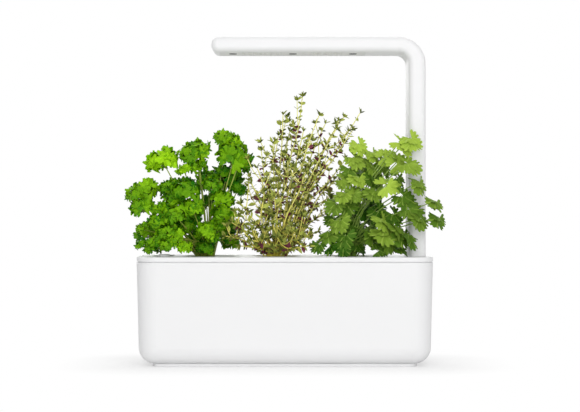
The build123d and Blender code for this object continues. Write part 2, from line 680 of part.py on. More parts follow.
def pod_shell(x):
    """Thin tapered shell with a hole in its foot."""
    with BuildPart() as made:
        with BuildSketch(Plane((x, 0, 0), x_dir=(1, 0, 0), z_dir=(0, -1, 0))):
            Polygon(
                (POD_FOOT_HOLE, POD_FOOT_Z),
                (pod_radius(POD_FOOT_Z), POD_FOOT_Z),
                (pod_radius(POD_TOP_Z), POD_TOP_Z),
                (pod_radius(POD_TOP_Z) - POD_WALL, POD_TOP_Z),
                (pod_radius(SOIL_FOOT_Z) - POD_WALL, SOIL_FOOT_Z),
                (POD_FOOT_HOLE, SOIL_FOOT_Z),
                align=None,
            )
        revolve(axis=Axis((x, 0, 0), (0, 0, 1)))
    return made.part


def soil_plug(x):
    """Growing medium that fills a pod's shell."""
    with BuildPart() as made:
        with BuildSketch(Plane((x, 0, 0), x_dir=(1, 0, 0), z_dir=(0, -1, 0))):
            Polygon(
                (0, SOIL_FOOT_Z),
                (pod_radius(SOIL_FOOT_Z) - POD_WALL, SOIL_FOOT_Z),
                (pod_radius(SOIL_TOP_Z) - POD_WALL, SOIL_TOP_Z),
                (0, SOIL_TOP_Z),
                align=None,
            )
        revolve(axis=Axis((x, 0, 0), (0, 0, 1)))
    return made.part


def pod_cover(x):
    """Paper disc on the soil, with a hole for the stems."""
    with BuildPart() as made:
        with BuildSketch(Plane((x, 0, SOIL_TOP_Z))):
            Circle(pod_radius(SOIL_TOP_Z) - POD_WALL - POD_COVER_FIT)
            Circle(POD_COVER_HOLE, mode=Mode.SUBTRACT)
        extrude(amount=POD_COVER_THICK)
    return made.part


for place, cup_x in CUP_X.items():
    save(cup(cup_x), f"{place}_cup")
    save(wick(cup_x), f"{place}_wick")
    save(pod_shell(cup_x), f"{place}_pod")
    save(soil_plug(cup_x), f"{place}_soil")
    save(pod_cover(cup_x), f"{place}_pod_cover")


# Extension arms: a tube with a socket above and a spigot below
def spigot(joint_z):
    """Spigot below a joint, still solid."""
    with BuildPart() as made:
        with BuildSketch(Plane((ARM_X, 0, joint_z))):
            arm_section(SPIGOT_INSET)
        extrude(amount=-SPIGOT_LENGTH)
    return made.part


def cable_way(joint_z):
    """Room for the cable inside a spigot and through the floor above it."""
    with BuildPart() as made:
        with BuildSketch(Plane((ARM_X, 0, joint_z - SPIGOT_LENGTH))):
            arm_section(SPIGOT_BORE_INSET)
        extrude(amount=SPIGOT_LENGTH + ARM_WALL)
    return made.part


def extension(joint_z):
    """Extension arm that stands on a joint."""
    top_z = joint_z + EXTENSION_LENGTH
    partition_z = top_z - SOCKET_DEPTH
    with BuildPart() as tube:
        with BuildSketch(Plane((ARM_X, 0, joint_z))):
            arm_section(0)
        extrude(amount=EXTENSION_LENGTH)
        chamfer(tube.faces().filter_by(Axis.Z).edges(), ARM_END_BREAK)
        with BuildSketch(Plane((ARM_X, 0, top_z))):
            arm_section(ARM_WALL)
        extrude(amount=-SOCKET_DEPTH, mode=Mode.SUBTRACT)
        with BuildSketch(Plane((ARM_X, 0, joint_z + ARM_WALL))):
            arm_section(ARM_WALL)
        extrude(amount=partition_z - PARTITION_THICK - joint_z - ARM_WALL, mode=Mode.SUBTRACT)
        with BuildSketch(Plane((ARM_X, 0, partition_z))):
            Rectangle(PLUG_WIDTH + 2 * PLUG_FIT, PLUG_LENGTH + 2 * PLUG_FIT)
        extrude(amount=-PARTITION_THICK, mode=Mode.SUBTRACT)
        add(spigot(joint_z))
        add(cable_way(joint_z), mode=Mode.SUBTRACT)
    return tube.part


def extension_cable(joint_z):
    """Flat twin cable from the plug up to the contact block."""
    plug_top = joint_z - SPIGOT_LENGTH + PLUG_HEIGHT
    block_foot = joint_z + EXTENSION_LENGTH - SOCKET_DEPTH - CONTACT_DEPTH
    with BuildPart() as cable:
        with BuildSketch(Plane((ARM_X, 0, plug_top))):
            Rectangle(CABLE_THICK, CABLE_WIDTH)
        extrude(amount=block_foot - plug_top)
    return cable.part


for name, level in (("lower", LOWER_JOINT_Z), ("upper", UPPER_JOINT_Z)):
    save(extension(level), f"{name}_extension")
    save(contact_block(level + EXTENSION_LENGTH - SOCKET_DEPTH), f"{name}_contact")
    save(plug_block(level), f"{name}_plug")
    save(plug_pins(level), f"{name}_pins")
    save(extension_cable(level), f"{name}_cable")


# Lamp housing: a bar with a round end, a bend and a leg, hollow, open below for the LEDs
def lamp_form(inset, foot_z):
    """Bar, bend and leg of the lamp in one, drawn in by the inset."""
    left = BAR_END + inset
    inner = ARM_INNER + inset
    right = ARM_OUTER - inset
    low = BAR_BOTTOM + inset
    high = LAMP_TOP - inset
    with BuildPart() as form:
        with BuildSketch(Plane.XZ) as side:
            with BuildLine():
                Polyline(
                    (left, low),
                    (inner, low),
                    (inner, foot_z),
                    (right, foot_z),
                    (right, high),
                    (left, high),
                    close=True,
                )
            make_face()
            fillet(side.vertices().sort_by_distance((inner, low))[0], BEND_INNER + inset)
            fillet(side.vertices().sort_by_distance((right, high))[0], BEND_OUTER - inset)
            fillet(side.vertices().group_by(Axis.X)[0], BAR_END_ROUND - inset)
        extrude(amount=ARM_WIDTH / 2 - inset, both=True)
        rims = form.faces().filter_by(Axis.Y).edges()
        fillet(rims - rims.group_by(Axis.Z)[0], ARM_ROUND - inset)
    return form.part


COVER_Z = BAR_BOTTOM + COVER_SUNK
BOARD_Z = COVER_Z + COVER_THICK
BOARD_TOP = BOARD_Z + BOARD_THICK
BOARD_LENGTH = COVER_LENGTH - 2 * BOARD_MARGIN
COVER_RIGHT = COVER_X + COVER_LENGTH / 2
TIMER_X = COVER_RIGHT + TIMER_ROOM / 2
TIMER_Z = BAR_BOTTOM + ARM_WALL + TIMER_POST_HEIGHT
TIMER_TOP = TIMER_Z + TIMER_THICK

with BuildPart() as lamp_housing:
    add(lamp_form(0, LAMP_JOINT_Z))
    chamfer(lamp_housing.faces().sort_by(Axis.Z)[0].edges(), ARM_END_BREAK)
    add(lamp_form(ARM_WALL, LAMP_JOINT_Z + ARM_WALL), mode=Mode.SUBTRACT)
    with BuildSketch(Plane((COVER_X, 0, BAR_BOTTOM))):
        RectangleRounded(
            COVER_LENGTH + 2 * COVER_FIT, COVER_WIDTH + 2 * COVER_FIT, COVER_CORNER + COVER_FIT
        )
    extrude(amount=ARM_WALL, mode=Mode.SUBTRACT)
    with BuildSketch(Plane((COVER_X, 0, BOARD_TOP))):
        with GridLocations(LAMP_SCREW_PITCH, 0, LAMP_SCREWS, 1):
            Circle(LAMP_BOSS_RADIUS)
            Circle(LAMP_SCREW_RADIUS + LAMP_SCREW_FIT, mode=Mode.SUBTRACT)
    extrude(amount=LAMP_TOP - ARM_WALL - BOARD_TOP)
    with BuildSketch(Plane((TIMER_X, 0, BAR_BOTTOM + ARM_WALL))):
        with GridLocations(TIMER_POST_SPACING, 0, 2, 1):
            Circle(TIMER_POST_RADIUS)
    extrude(amount=TIMER_POST_HEIGHT)
    add(spigot(LAMP_JOINT_Z))
    add(cable_way(LAMP_JOINT_Z), mode=Mode.SUBTRACT)
save(lamp_housing.part, "lamp_housing")

save(plug_block(LAMP_JOINT_Z), "lamp_plug")
save(plug_pins(LAMP_JOINT_Z), "lamp_pins")

# Cover below the lamp with a round well for each LED and an oval well, closed by a plug, for each screw
LED_GROUP_X = (COVER_X - LAMP_SCREW_PITCH / 2, COVER_X + LAMP_SCREW_PITCH / 2)
LED_PLACES = [
    (group_x + (column - (LED_COLUMNS - 1) / 2) * LED_COLUMN_PITCH, row * LED_ROW_PITCH / 2, column)
    for group_x in LED_GROUP_X
    for column in range(LED_COLUMNS)
    for row in (-1, 1)
]
WHITE_PLACES = [(x, y) for x, y, column in LED_PLACES if column % LED_RED_EVERY]
RED_PLACES = [(x, y) for x, y, column in LED_PLACES if not column % LED_RED_EVERY]

with BuildPart() as lamp_cover:
    with BuildSketch(Plane.XY.offset(COVER_Z)):
        with Locations((COVER_X, 0)):
            RectangleRounded(COVER_LENGTH, COVER_WIDTH, COVER_CORNER)
        with Locations(*(WHITE_PLACES + RED_PLACES)):
            Circle(LED_WELL_RADIUS, mode=Mode.SUBTRACT)
        with Locations((COVER_X, 0)):
            with GridLocations(LAMP_SCREW_PITCH, 0, LAMP_SCREWS, 1):
                Circle(LAMP_SCREW_RADIUS + LAMP_SCREW_FIT, mode=Mode.SUBTRACT)
    extrude(amount=COVER_THICK)
    with BuildSketch(Plane((COVER_X, 0, COVER_Z))):
        with GridLocations(LAMP_SCREW_PITCH, 0, LAMP_SCREWS, 1):
            SlotOverall(LAMP_SCREW_WELL_LENGTH, LAMP_SCREW_WELL_WIDTH, rotation=90)
    extrude(amount=LAMP_SCREW_WELL_DEPTH, mode=Mode.SUBTRACT)
save(lamp_cover.part, "lamp_cover")

with BuildPart() as lamp_screws:
    with BuildSketch(Plane((COVER_X, 0, COVER_Z + LAMP_SCREW_WELL_DEPTH))):
        with GridLocations(LAMP_SCREW_PITCH, 0, LAMP_SCREWS, 1):
            Circle(LAMP_SCREW_HEAD_RADIUS)
    extrude(amount=-LAMP_SCREW_HEAD_THICK)
    with BuildSketch(Plane((COVER_X, 0, COVER_Z + LAMP_SCREW_WELL_DEPTH))):
        with GridLocations(LAMP_SCREW_PITCH, 0, LAMP_SCREWS, 1):
            Circle(LAMP_SCREW_RADIUS)
    extrude(amount=BOARD_TOP + LAMP_SCREW_BITE - COVER_Z - LAMP_SCREW_WELL_DEPTH)
save(lamp_screws.part, "lamp_screws")

with BuildPart() as screw_plugs:
    with BuildSketch(Plane((COVER_X, 0, COVER_Z))):
        with GridLocations(LAMP_SCREW_PITCH, 0, LAMP_SCREWS, 1):
            SlotOverall(
                LAMP_SCREW_WELL_LENGTH - 2 * LAMP_SCREW_PLUG_FIT,
                LAMP_SCREW_WELL_WIDTH - 2 * LAMP_SCREW_PLUG_FIT,
                rotation=90,
            )
    extrude(amount=LAMP_SCREW_PLUG_THICK)
save(screw_plugs.part, "screw_plugs")

# LED board with a terminal for its lead, and the LEDs that hang from it into the wells
LED_TERMINAL_X = COVER_X + BOARD_LENGTH / 2 - TERMINAL_LENGTH / 2

with BuildPart() as led_board:
    with BuildSketch(Plane.XY.offset(BOARD_Z)):
        with Locations((COVER_X, 0)):
            Rectangle(BOARD_LENGTH, COVER_WIDTH - 2 * BOARD_MARGIN)
            with GridLocations(LAMP_SCREW_PITCH, 0, LAMP_SCREWS, 1):
                Circle(LAMP_SCREW_RADIUS + LAMP_SCREW_FIT, mode=Mode.SUBTRACT)
    extrude(amount=BOARD_THICK)
    with BuildSketch(Plane((LED_TERMINAL_X, 0, BOARD_TOP))):
        Rectangle(TERMINAL_LENGTH, TERMINAL_WIDTH)
    extrude(amount=TIMER_TOP + TERMINAL_HEIGHT - BOARD_TOP)
save(led_board.part, "led_board")

for name, places in (("white_leds", WHITE_PLACES), ("red_leds", RED_PLACES)):
    with BuildPart() as leds:
        with BuildSketch(Plane.XY.offset(BOARD_Z)):
            with Locations(*places):
                Rectangle(LED_SIZE, LED_SIZE)
        extrude(amount=-LED_HEIGHT)
    save(leds.part, name)

# Timer board on two posts, its lead to the LEDs, and the cable down the leg
TIMER_TERMINAL_X = TIMER_X + (TIMER_LENGTH - TERMINAL_LENGTH) / 2
TIMER_TERMINAL_LEFT = TIMER_TERMINAL_X - TERMINAL_LENGTH / 2
TIMER_TERMINAL_RIGHT = TIMER_TERMINAL_X + TERMINAL_LENGTH / 2
LED_TERMINAL_RIGHT = LED_TERMINAL_X + TERMINAL_LENGTH / 2
LAMP_PLUG_TOP = LAMP_JOINT_Z - SPIGOT_LENGTH + PLUG_HEIGHT
LEAD_Z = TIMER_TOP + TERMINAL_HEIGHT / 2

with BuildPart() as timer_board:
    with BuildSketch(Plane((TIMER_X, 0, TIMER_Z))):
        Rectangle(TIMER_LENGTH, TIMER_WIDTH)
    extrude(amount=TIMER_THICK)
    with BuildSketch(Plane((TIMER_TERMINAL_X, 0, TIMER_TOP))):
        Rectangle(TERMINAL_LENGTH, TERMINAL_WIDTH)
    extrude(amount=TERMINAL_HEIGHT)
save(timer_board.part, "timer_board")

with BuildPart() as led_lead:
    with BuildSketch(Plane((LED_TERMINAL_RIGHT, 0, LEAD_Z), x_dir=(0, 1, 0), z_dir=(1, 0, 0))):
        Rectangle(CABLE_WIDTH, CABLE_THICK)
    extrude(amount=TIMER_TERMINAL_LEFT - LED_TERMINAL_RIGHT)
save(led_lead.part, "led_lead")

with BuildPart() as lamp_cable:
    with BuildLine(Plane.XZ):
        FilletPolyline(
            (ARM_X, LAMP_PLUG_TOP), (ARM_X, LEAD_Z), (TIMER_TERMINAL_RIGHT, LEAD_Z), radius=CABLE_BEND
        )
    with BuildSketch(Plane((ARM_X, 0, LAMP_PLUG_TOP))):
        Rectangle(CABLE_THICK, CABLE_WIDTH)
    sweep()
save(lamp_cable.part, "lamp_cable")


# Herbs: stems that rise from a crown on the soil, lean out, and carry flat leaf blades
def parsley_outline(radius):
    """Round leaflet with blunt lobes."""
    steps = 2 * PARSLEY_LOBES
    radii = [radius * (1 - PARSLEY_DENT * (step % 2)) for step in range(steps)]
    return [(r * cos(2 * pi * k / steps), r * sin(2 * pi * k / steps)) for k, r in enumerate(radii)]


def cilantro_outline(radius):
    """Fan of broad lobes, each cut into teeth, that narrows to the stalk."""
    steps = CILANTRO_LOBES * CILANTRO_TEETH
    points = []
    for step in range(steps):
        angle = 2 * pi * step / steps
        cleft = 1 - CILANTRO_CLEFT * abs(sin(angle * CILANTRO_LOBES / 2))
        tooth = 1 - CILANTRO_TOOTH * (step % 2)
        points.append((radius * cleft * tooth * cos(angle), radius * cleft * tooth * sin(angle)))
    return points


def thyme_outline():
    """Two small pointed leaves, one each side of a stem."""
    half = THYME_LEAF_LENGTH / 2
    wide = THYME_LEAF_WIDTH / 2
    one_side = [(THYME_LEAF_LENGTH, 0), (half, wide), (0, THYME_STEM_RADIUS), (-half, wide)]
    return one_side + [(-x, -y) for x, y in one_side]


def crown_at(x):
    """Short trunk on the soil that carries all the stems of a plant."""
    with BuildPart() as made:
        with BuildSketch(Plane((x, 0, SOIL_TOP_Z))):
            RegularPolygon(CROWN_RADIUS, CROWN_SIDES)
        extrude(amount=CROWN_HEIGHT)
    return made.part


def stem(points, radius):
    """Straight-sided stem along a bent line."""
    with BuildPart() as made:
        with BuildLine():
            Polyline(*points)
        with BuildSketch(Plane(points[0], z_dir=points[1] - points[0])):
            RegularPolygon(radius, STEM_SIDES)
        sweep(transition=Transition.RIGHT)
    return made.part


def blade(place, along, facing, outline):
    """Flat leaf blade that points one way and faces another."""
    with BuildPart() as made:
        with BuildSketch(Plane(place, x_dir=along - facing * along.dot(facing), z_dir=facing)):
            Polygon(*outline, align=None)
        extrude(amount=LEAF_THICK)
    return made.part


def root_of(x, dx, dy):
    """Place in the crown where a stem starts, on the side that it leans to."""
    return Vector(x + dx * ROOT_SPREAD, dy * ROOT_SPREAD, SOIL_TOP_Z + CROWN_HEIGHT / 2)


def knee_of(x, dx, dy, dz, reach):
    """Place where a stem that has risen clear of the lid starts to lean out."""
    return Vector(x + dx * reach, dy * reach, LID_TOP + max(dz * KNEE_RISE, KNEE_LEAST_RISE))


def out_from_pod(dx, dy):
    """Level direction from the pod's axis to a leaf."""
    return Vector(dx, dy, 0).normalized()


def parsley_stalk(x, dx, dy, dz, radius):
    """Stem with a leaflet on top and a ring of leaflets that droop around it."""
    out = out_from_pod(dx, dy)
    facing = (Vector(0, 0, 1) + out * PARSLEY_LEAN).normalized()
    side = facing.cross(out).normalized()
    top = Vector(x + dx, dy, LID_TOP + dz)
    knee = knee_of(x, dx, dy, dz, PARSLEY_KNEE_REACH)
    leaflet = parsley_outline(radius * PARSLEY_LEAFLET_SHARE)
    pieces = [
        stem([root_of(x, dx, dy), knee, top + facing * LEAF_THICK / 2], PARSLEY_STEM_RADIUS),
        blade(top, out, facing, leaflet),
    ]
    for turn in range(PARSLEY_LEAFLETS):
        angle = pi * (2 * turn + 1) / PARSLEY_LEAFLETS
        spoke = side.cross(facing) * cos(angle) + side * sin(angle)
        droop = (facing + spoke * PARSLEY_DROOP).normalized()
        place = top + spoke * radius * PARSLEY_RING_REACH - facing * radius * PARSLEY_RING_DROP
        pieces.append(blade(place, spoke, droop, leaflet))
    return pieces


def cilantro_stalk(x, dx, dy, dz, radius):
    """Stem with one broad lobed leaf."""
    out = out_from_pod(dx, dy)
    facing = (Vector(0, 0, 1) + out * CILANTRO_LEAN).normalized()
    place = Vector(x + dx, dy, LID_TOP + dz)
    knee = knee_of(x, dx, dy, dz, CILANTRO_KNEE_REACH)
    end = place + facing * LEAF_THICK / 2
    return [
        stem([root_of(x, dx, dy), knee, end], CILANTRO_STEM_RADIUS),
        blade(place, out, facing, cilantro_outline(radius)),
    ]


def thyme_stalk(x, dx, dy, dz):
    """Thin bowed stem with pairs of small leaves, each pair square to the last."""
    root = root_of(x, dx, dy)
    tip = Vector(x + dx, dy, LID_TOP + dz)
    knee = (root + tip) / 2 + Vector(0, 0, (tip - root).length * THYME_BOW)
    pieces = [stem([root, knee, tip], THYME_STEM_RADIUS)]
    for start, run, bare in ((root, knee - root, THYME_BARE_STEM), (knee, tip - knee, 0)):
        along = run.normalized()
        across = along.cross(Vector(0, 0, 1)).normalized()
        for pair in range(int((run.length - bare) / THYME_LEAF_PITCH)):
            side = along.cross(across) if pair % 2 else across
            place = start + along * (bare + (pair + 1) * THYME_LEAF_PITCH - LEAF_THICK)
            pieces.append(blade(place, side, along, thyme_outline()))
    with BuildPart() as made:
        add(pieces)
    return [made.part]


HERBS = (
    ("parsley", "left", parsley_stalk, PARSLEY_HEADS),
    ("thyme", "middle", thyme_stalk, THYME_TIPS),
    ("cilantro", "right", cilantro_stalk, CILANTRO_LEAVES),
)
for name, place, stalk, rows in HERBS:
    pod_x = CUP_X[place]
    stalks = [piece for row in rows for piece in stalk(pod_x, *row)]
    with BuildPart() as herb:
        add(crown_at(pod_x))
        add(stalks)
    save(herb.part, name)
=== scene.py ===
# %% [markdown]
# # A small indoor herb garden
# The garden is a white water tank with a lid, three plant cups and a lamp on a stacking arm.
# Its hard parts come ready made as CAD solids, and each keeps its place.
# This lesson gives those solids their finishes and grows the three herbs as real foliage.

# %% Load the solids
import json
import math
import random

import bmesh
import bpy
from mathutils import Matrix, Vector


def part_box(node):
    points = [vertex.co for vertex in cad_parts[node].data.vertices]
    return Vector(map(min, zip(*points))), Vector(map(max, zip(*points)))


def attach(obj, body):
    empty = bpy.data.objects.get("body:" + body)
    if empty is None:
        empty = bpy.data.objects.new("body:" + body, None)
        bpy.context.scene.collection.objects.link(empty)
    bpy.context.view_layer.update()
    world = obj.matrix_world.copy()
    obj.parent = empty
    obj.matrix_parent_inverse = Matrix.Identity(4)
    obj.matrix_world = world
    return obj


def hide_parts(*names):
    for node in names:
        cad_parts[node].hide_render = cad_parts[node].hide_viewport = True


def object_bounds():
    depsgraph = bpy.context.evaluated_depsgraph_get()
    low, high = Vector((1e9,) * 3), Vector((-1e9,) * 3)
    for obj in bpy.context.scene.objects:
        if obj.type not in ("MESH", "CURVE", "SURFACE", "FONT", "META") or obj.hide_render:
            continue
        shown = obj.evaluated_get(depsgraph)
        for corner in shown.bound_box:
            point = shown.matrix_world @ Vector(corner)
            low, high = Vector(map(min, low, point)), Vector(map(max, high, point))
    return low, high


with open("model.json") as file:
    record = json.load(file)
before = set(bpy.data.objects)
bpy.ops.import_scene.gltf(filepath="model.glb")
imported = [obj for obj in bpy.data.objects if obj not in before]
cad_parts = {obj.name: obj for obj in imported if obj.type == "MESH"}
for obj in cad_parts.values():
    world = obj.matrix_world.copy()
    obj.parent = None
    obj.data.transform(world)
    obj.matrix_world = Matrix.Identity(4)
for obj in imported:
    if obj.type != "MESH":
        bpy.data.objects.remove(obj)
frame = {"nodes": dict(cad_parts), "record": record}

MM = 0.001
cad_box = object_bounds()
nodes = frame["nodes"]
scene = bpy.context.scene
scene.view_settings.view_transform = "Standard"
print("solids:", len(nodes), "box in metres:", [tuple(round(v, 3) for v in c) for c in cad_box])

# %% [markdown]
# ## Camera
# The garden is seen from far away through a long lens, straight at its front, with the lens at about
# half of its height. A long lens keeps the arm and the tank nearly free of perspective.
# The focal length is first given in pixels of the picture, because it was measured there.

# %% Camera
PICTURE_WIDTH = 580
FOCAL_PIXELS = 1934.0
SENSOR = 36.0
EYE = Vector((5.25, -2000.0, 162.5)) * MM

camera_data = bpy.data.cameras.new("camera")
camera_data.sensor_width = SENSOR
camera_data.lens = SENSOR * FOCAL_PIXELS / PICTURE_WIDTH
camera = bpy.data.objects.new("camera", camera_data)
camera.location = EYE
camera.rotation_euler = (math.pi / 2, 0, 0)
scene.collection.objects.link(camera)
scene.camera = camera
print("lens:", round(camera_data.lens, 1), "mm")

# %% [markdown]
# ## Small helpers for node trees
# Every finish and every herb is a tree of nodes. Short helpers keep those trees readable: they add
# a node with its settings and fill its inputs, each with a value or with the output of another node.
# A socket is found by its identifier first, because some nodes have several sockets of the same name.
# Helpers that calculate hand back a pair of node and output. The last two start a finish and a group.

# %% Node helpers
def socket(sockets, name):
    """The socket with that identifier, or else with that name."""
    for found in sockets:
        if found.identifier == name:
            return found
    return sockets[name]


def fill(tree, node, inputs):
    """Fills inputs of a node, each with a value or with a pair of (node, output)."""
    for name, value in inputs.items():
        entry = socket(node.inputs, name)
        if isinstance(value, tuple) and isinstance(value[0], bpy.types.Node):
            source, output = value
            tree.links.new(socket(source.outputs, output), entry)
        else:
            entry.default_value = value


def add_node(tree, kind, inputs=None, **settings):
    """Adds a node, sets its properties, then fills its inputs."""
    node = tree.nodes.new(kind)
    for name, value in settings.items():
        setattr(node, name, value)
    fill(tree, node, inputs or {})
    return node


def maths(tree, operation, first, second):
    """Calculates with two numbers."""
    inputs = {"Value": first, "Value_001": second}
    return add_node(tree, "ShaderNodeMath", inputs, operation=operation), "Value"


def vector_maths(tree, operation, first, second=(0, 0, 0)):
    """Calculates with two vectors."""
    inputs = {"Vector": first, "Vector_001": second}
    return add_node(tree, "ShaderNodeVectorMath", inputs, operation=operation), "Vector"


def remapped(tree, value, limits, **settings):
    """Carries a number from one range over to another."""
    return add_node(tree, "ShaderNodeMapRange", limits | {"Value": value}, **settings), "Result"


def blend(tree, share, first, second):
    """Mixes two colours."""
    inputs = {"Factor_Float": share, "A_Color": first, "B_Color": second}
    return add_node(tree, "ShaderNodeMix", inputs, data_type="RGBA"), "Result_Color"


def new_finish(name):
    """A plain finish, its tree and its skin."""
    finish = bpy.data.materials.new(name)
    finish.use_nodes = True
    return finish, finish.node_tree, finish.node_tree.nodes["Principled BSDF"]


def new_group(kind, name, inputs, outputs):
    """An empty node group with named sockets by their kind, and its two end nodes."""
    group = bpy.data.node_groups.new(name, kind)
    for way, labels_of in (("INPUT", inputs), ("OUTPUT", outputs)):
        for sort, labels in labels_of.items():
            for label in labels:
                group.interface.new_socket(label, in_out=way, socket_type=sort)
    return group, group.nodes.new("NodeGroupInput"), group.nodes.new("NodeGroupOutput")


# %% [markdown]
# ## Floor, light and background
# The picture has a white ground that fades into a white background, with only a faint soft shadow.
# The floor is a plain pale surface for the light that it throws back, while the camera sees it mostly
# as flat white. The world does the same: white to the eye, but as light it is a soft dome that is
# brighter at the front, which is what darkens the rounded ends of the tank. Three softboxes add to it:
# a strong one in front, a weak one above, and one behind that lights the top of the lid.

# %% Floor
FLOOR_HALF = 6.0
FLOOR_TONE = 0.95
SHADOW_SHARE = 0.5
SHADOW_REACH = 0.115
FOOT_HALF = (0.13, 0.045, 0.0)

floor_mesh = bpy.data.meshes.new("floor")
corners = [(x * FLOOR_HALF, y * FLOOR_HALF, 0) for x, y in ((-1, -1), (1, -1), (1, 1), (-1, 1))]
floor_mesh.from_pydata(corners, [], [(0, 1, 2, 3)])
floor = bpy.data.objects.new("floor", floor_mesh)
scene.collection.objects.link(floor)

floor_finish, tree, _ = new_finish("floor")
tree.nodes.clear()
path = add_node(tree, "ShaderNodeLightPath")
place = add_node(tree, "ShaderNodeTexCoord")
mirrored = vector_maths(tree, "ABSOLUTE", (place, "Object"))
outside = vector_maths(tree, "SUBTRACT", mirrored, FOOT_HALF)
kept = vector_maths(tree, "MAXIMUM", outside)
reach = add_node(tree, "ShaderNodeVectorMath", {"Vector": kept}, operation="LENGTH")
limits = {"From Max": SHADOW_REACH, "To Min": 1 - SHADOW_SHARE, "To Max": 1}
fade = remapped(tree, (reach, "Value"), limits, interpolation_type="SMOOTHSTEP")
seen = maths(tree, "MULTIPLY", fade, (path, "Is Camera Ray"))
pale = add_node(tree, "ShaderNodeBsdfDiffuse", {"Color": (FLOOR_TONE, FLOOR_TONE, FLOOR_TONE, 1)})
white = add_node(tree, "ShaderNodeEmission")
parts = {"Fac": seen, "Shader": (pale, "BSDF"), "Shader_001": (white, "Emission")}
mix = add_node(tree, "ShaderNodeMixShader", parts)
add_node(tree, "ShaderNodeOutputMaterial", {"Surface": (mix, "Shader")})
floor_mesh.materials.append(floor_finish)
print("floor half width:", FLOOR_HALF)

# %% World
DOME_FRONT = 0.92
DOME_BACK = 0.2

world = bpy.data.worlds.new("studio")
scene.world = world
world.use_nodes = True
tree = world.node_tree
tree.nodes.clear()
place = add_node(tree, "ShaderNodeTexCoord")
split = add_node(tree, "ShaderNodeSeparateXYZ", {"Vector": (place, "Generated")})
limits = {"From Min": -1, "From Max": 1, "To Min": DOME_FRONT, "To Max": DOME_BACK}
dome = remapped(tree, (split, "Y"), limits)
dome_light = add_node(tree, "ShaderNodeBackground", {"Strength": dome})
white = add_node(tree, "ShaderNodeBackground", {"Color": (1, 1, 1, 1)})
path = add_node(tree, "ShaderNodeLightPath")
seen = maths(tree, "MAXIMUM", (path, "Is Camera Ray"), (path, "Is Glossy Ray"))
clear = maths(tree, "MAXIMUM", seen, (path, "Is Transmission Ray"))
parts = {"Fac": clear, "Shader": (dome_light, "Background"), "Shader_001": (white, "Background")}
mix = add_node(tree, "ShaderNodeMixShader", parts)
add_node(tree, "ShaderNodeOutputWorld", {"Surface": (mix, "Shader")})
print("dome light from front to back:", DOME_FRONT, DOME_BACK)

# %% Lamps
MIDDLE = (cad_box[0] + cad_box[1]) / 2
LAMPS = {
    "front_softbox": {"place": (0.25, -2.6, 0.55), "size": 2.0, "power": 37.5},
    "top_softbox": {"place": (0.2, -0.3, 2.0), "size": 1.6, "power": 4.0},
    "back_softbox": {"place": (-0.2, 1.7, 1.25), "size": 2.1, "power": 20.0},
}
for name, lamp in LAMPS.items():
    light = bpy.data.lights.new(name, "AREA")
    light.size = lamp["size"]
    light.energy = lamp["power"]
    holder = bpy.data.objects.new(name, light)
    holder.location = lamp["place"]
    holder.rotation_euler = (MIDDLE - holder.location).to_track_quat("-Z", "Y").to_euler()
    scene.collection.objects.link(holder)
print("lamps:", ", ".join(LAMPS))

# %% [markdown]
# ## Moulded plastic
# Nearly every hard part is injection moulded. Seen close, such a skin is never quite even: the mould
# leaves a very fine grain, and the gloss drifts a little over the part.
# One shader group makes that grain once, and each plastic uses it with its own depth and tone.

# %% Grain group
NUMBER = "NodeSocketFloat"
COLOUR = "NodeSocketColor"
VECTOR = "NodeSocketVector"
SHADER = "ShaderNodeTree"
GRAIN_NOISE = {"Detail": 3.0, "Roughness": 0.6}
DRIFT_NOISE = {"Scale": 26.0, "Detail": 2.0}
NOISE_MIDDLE = 0.5
TONE_DRIFT = {"To Min": 0.985, "To Max": 1.0}

tree, ins, outs = new_group(
    SHADER,
    "moulded_grain",
    {VECTOR: ["Vector"], COLOUR: ["Tone"], NUMBER: ["Gloss drift", "Roughness", "Grain scale"]},
    {COLOUR: ["Colour"], NUMBER: ["Roughness", "Height"]},
)
place = {"Vector": (ins, "Vector")}
scale = {"Scale": (ins, "Grain scale")}
grain = add_node(tree, "ShaderNodeTexNoise", GRAIN_NOISE | place | scale)
drift = add_node(tree, "ShaderNodeTexNoise", DRIFT_NOISE | place)
centred = maths(tree, "SUBTRACT", (drift, "Fac"), NOISE_MIDDLE)
scaled = maths(tree, "MULTIPLY", centred, (ins, "Gloss drift"))
rough = maths(tree, "ADD", scaled, (ins, "Roughness"))
paler = remapped(tree, (drift, "Fac"), TONE_DRIFT)
toned = vector_maths(tree, "MULTIPLY", (ins, "Tone"), paler)
fill(tree, outs, {"Colour": toned, "Roughness": rough, "Height": (grain, "Fac")})
grain_group = tree
print("grain group sockets:", len(grain_group.interface.items_tree))

# %% Plastic, rubber and metal finishes
FINISHES = {}


def grained(name, tone, roughness, scale=900.0, depth=0.02, drift=0.08, specular=0.4, metallic=0.0):
    """Keeps a finish whose tone, gloss and fine relief come from the grain group."""
    finish, tree, skin = new_finish(name)
    place = add_node(tree, "ShaderNodeTexCoord")
    values = {
        "Vector": (place, "Object"),
        "Tone": (*tone, 1),
        "Gloss drift": drift,
        "Roughness": roughness,
        "Grain scale": scale,
    }
    group = add_node(tree, "ShaderNodeGroup", values, node_tree=grain_group)
    relief = {"Strength": depth, "Distance": MM, "Height": (group, "Height")}
    bump = add_node(tree, "ShaderNodeBump", relief)
    looks = {"Base Color": (group, "Colour"), "Roughness": (group, "Roughness")}
    gloss = {"Specular IOR Level": specular, "Metallic": metallic}
    fill(tree, skin, looks | gloss | {"Normal": (bump, "Normal")})
    FINISHES[name] = finish


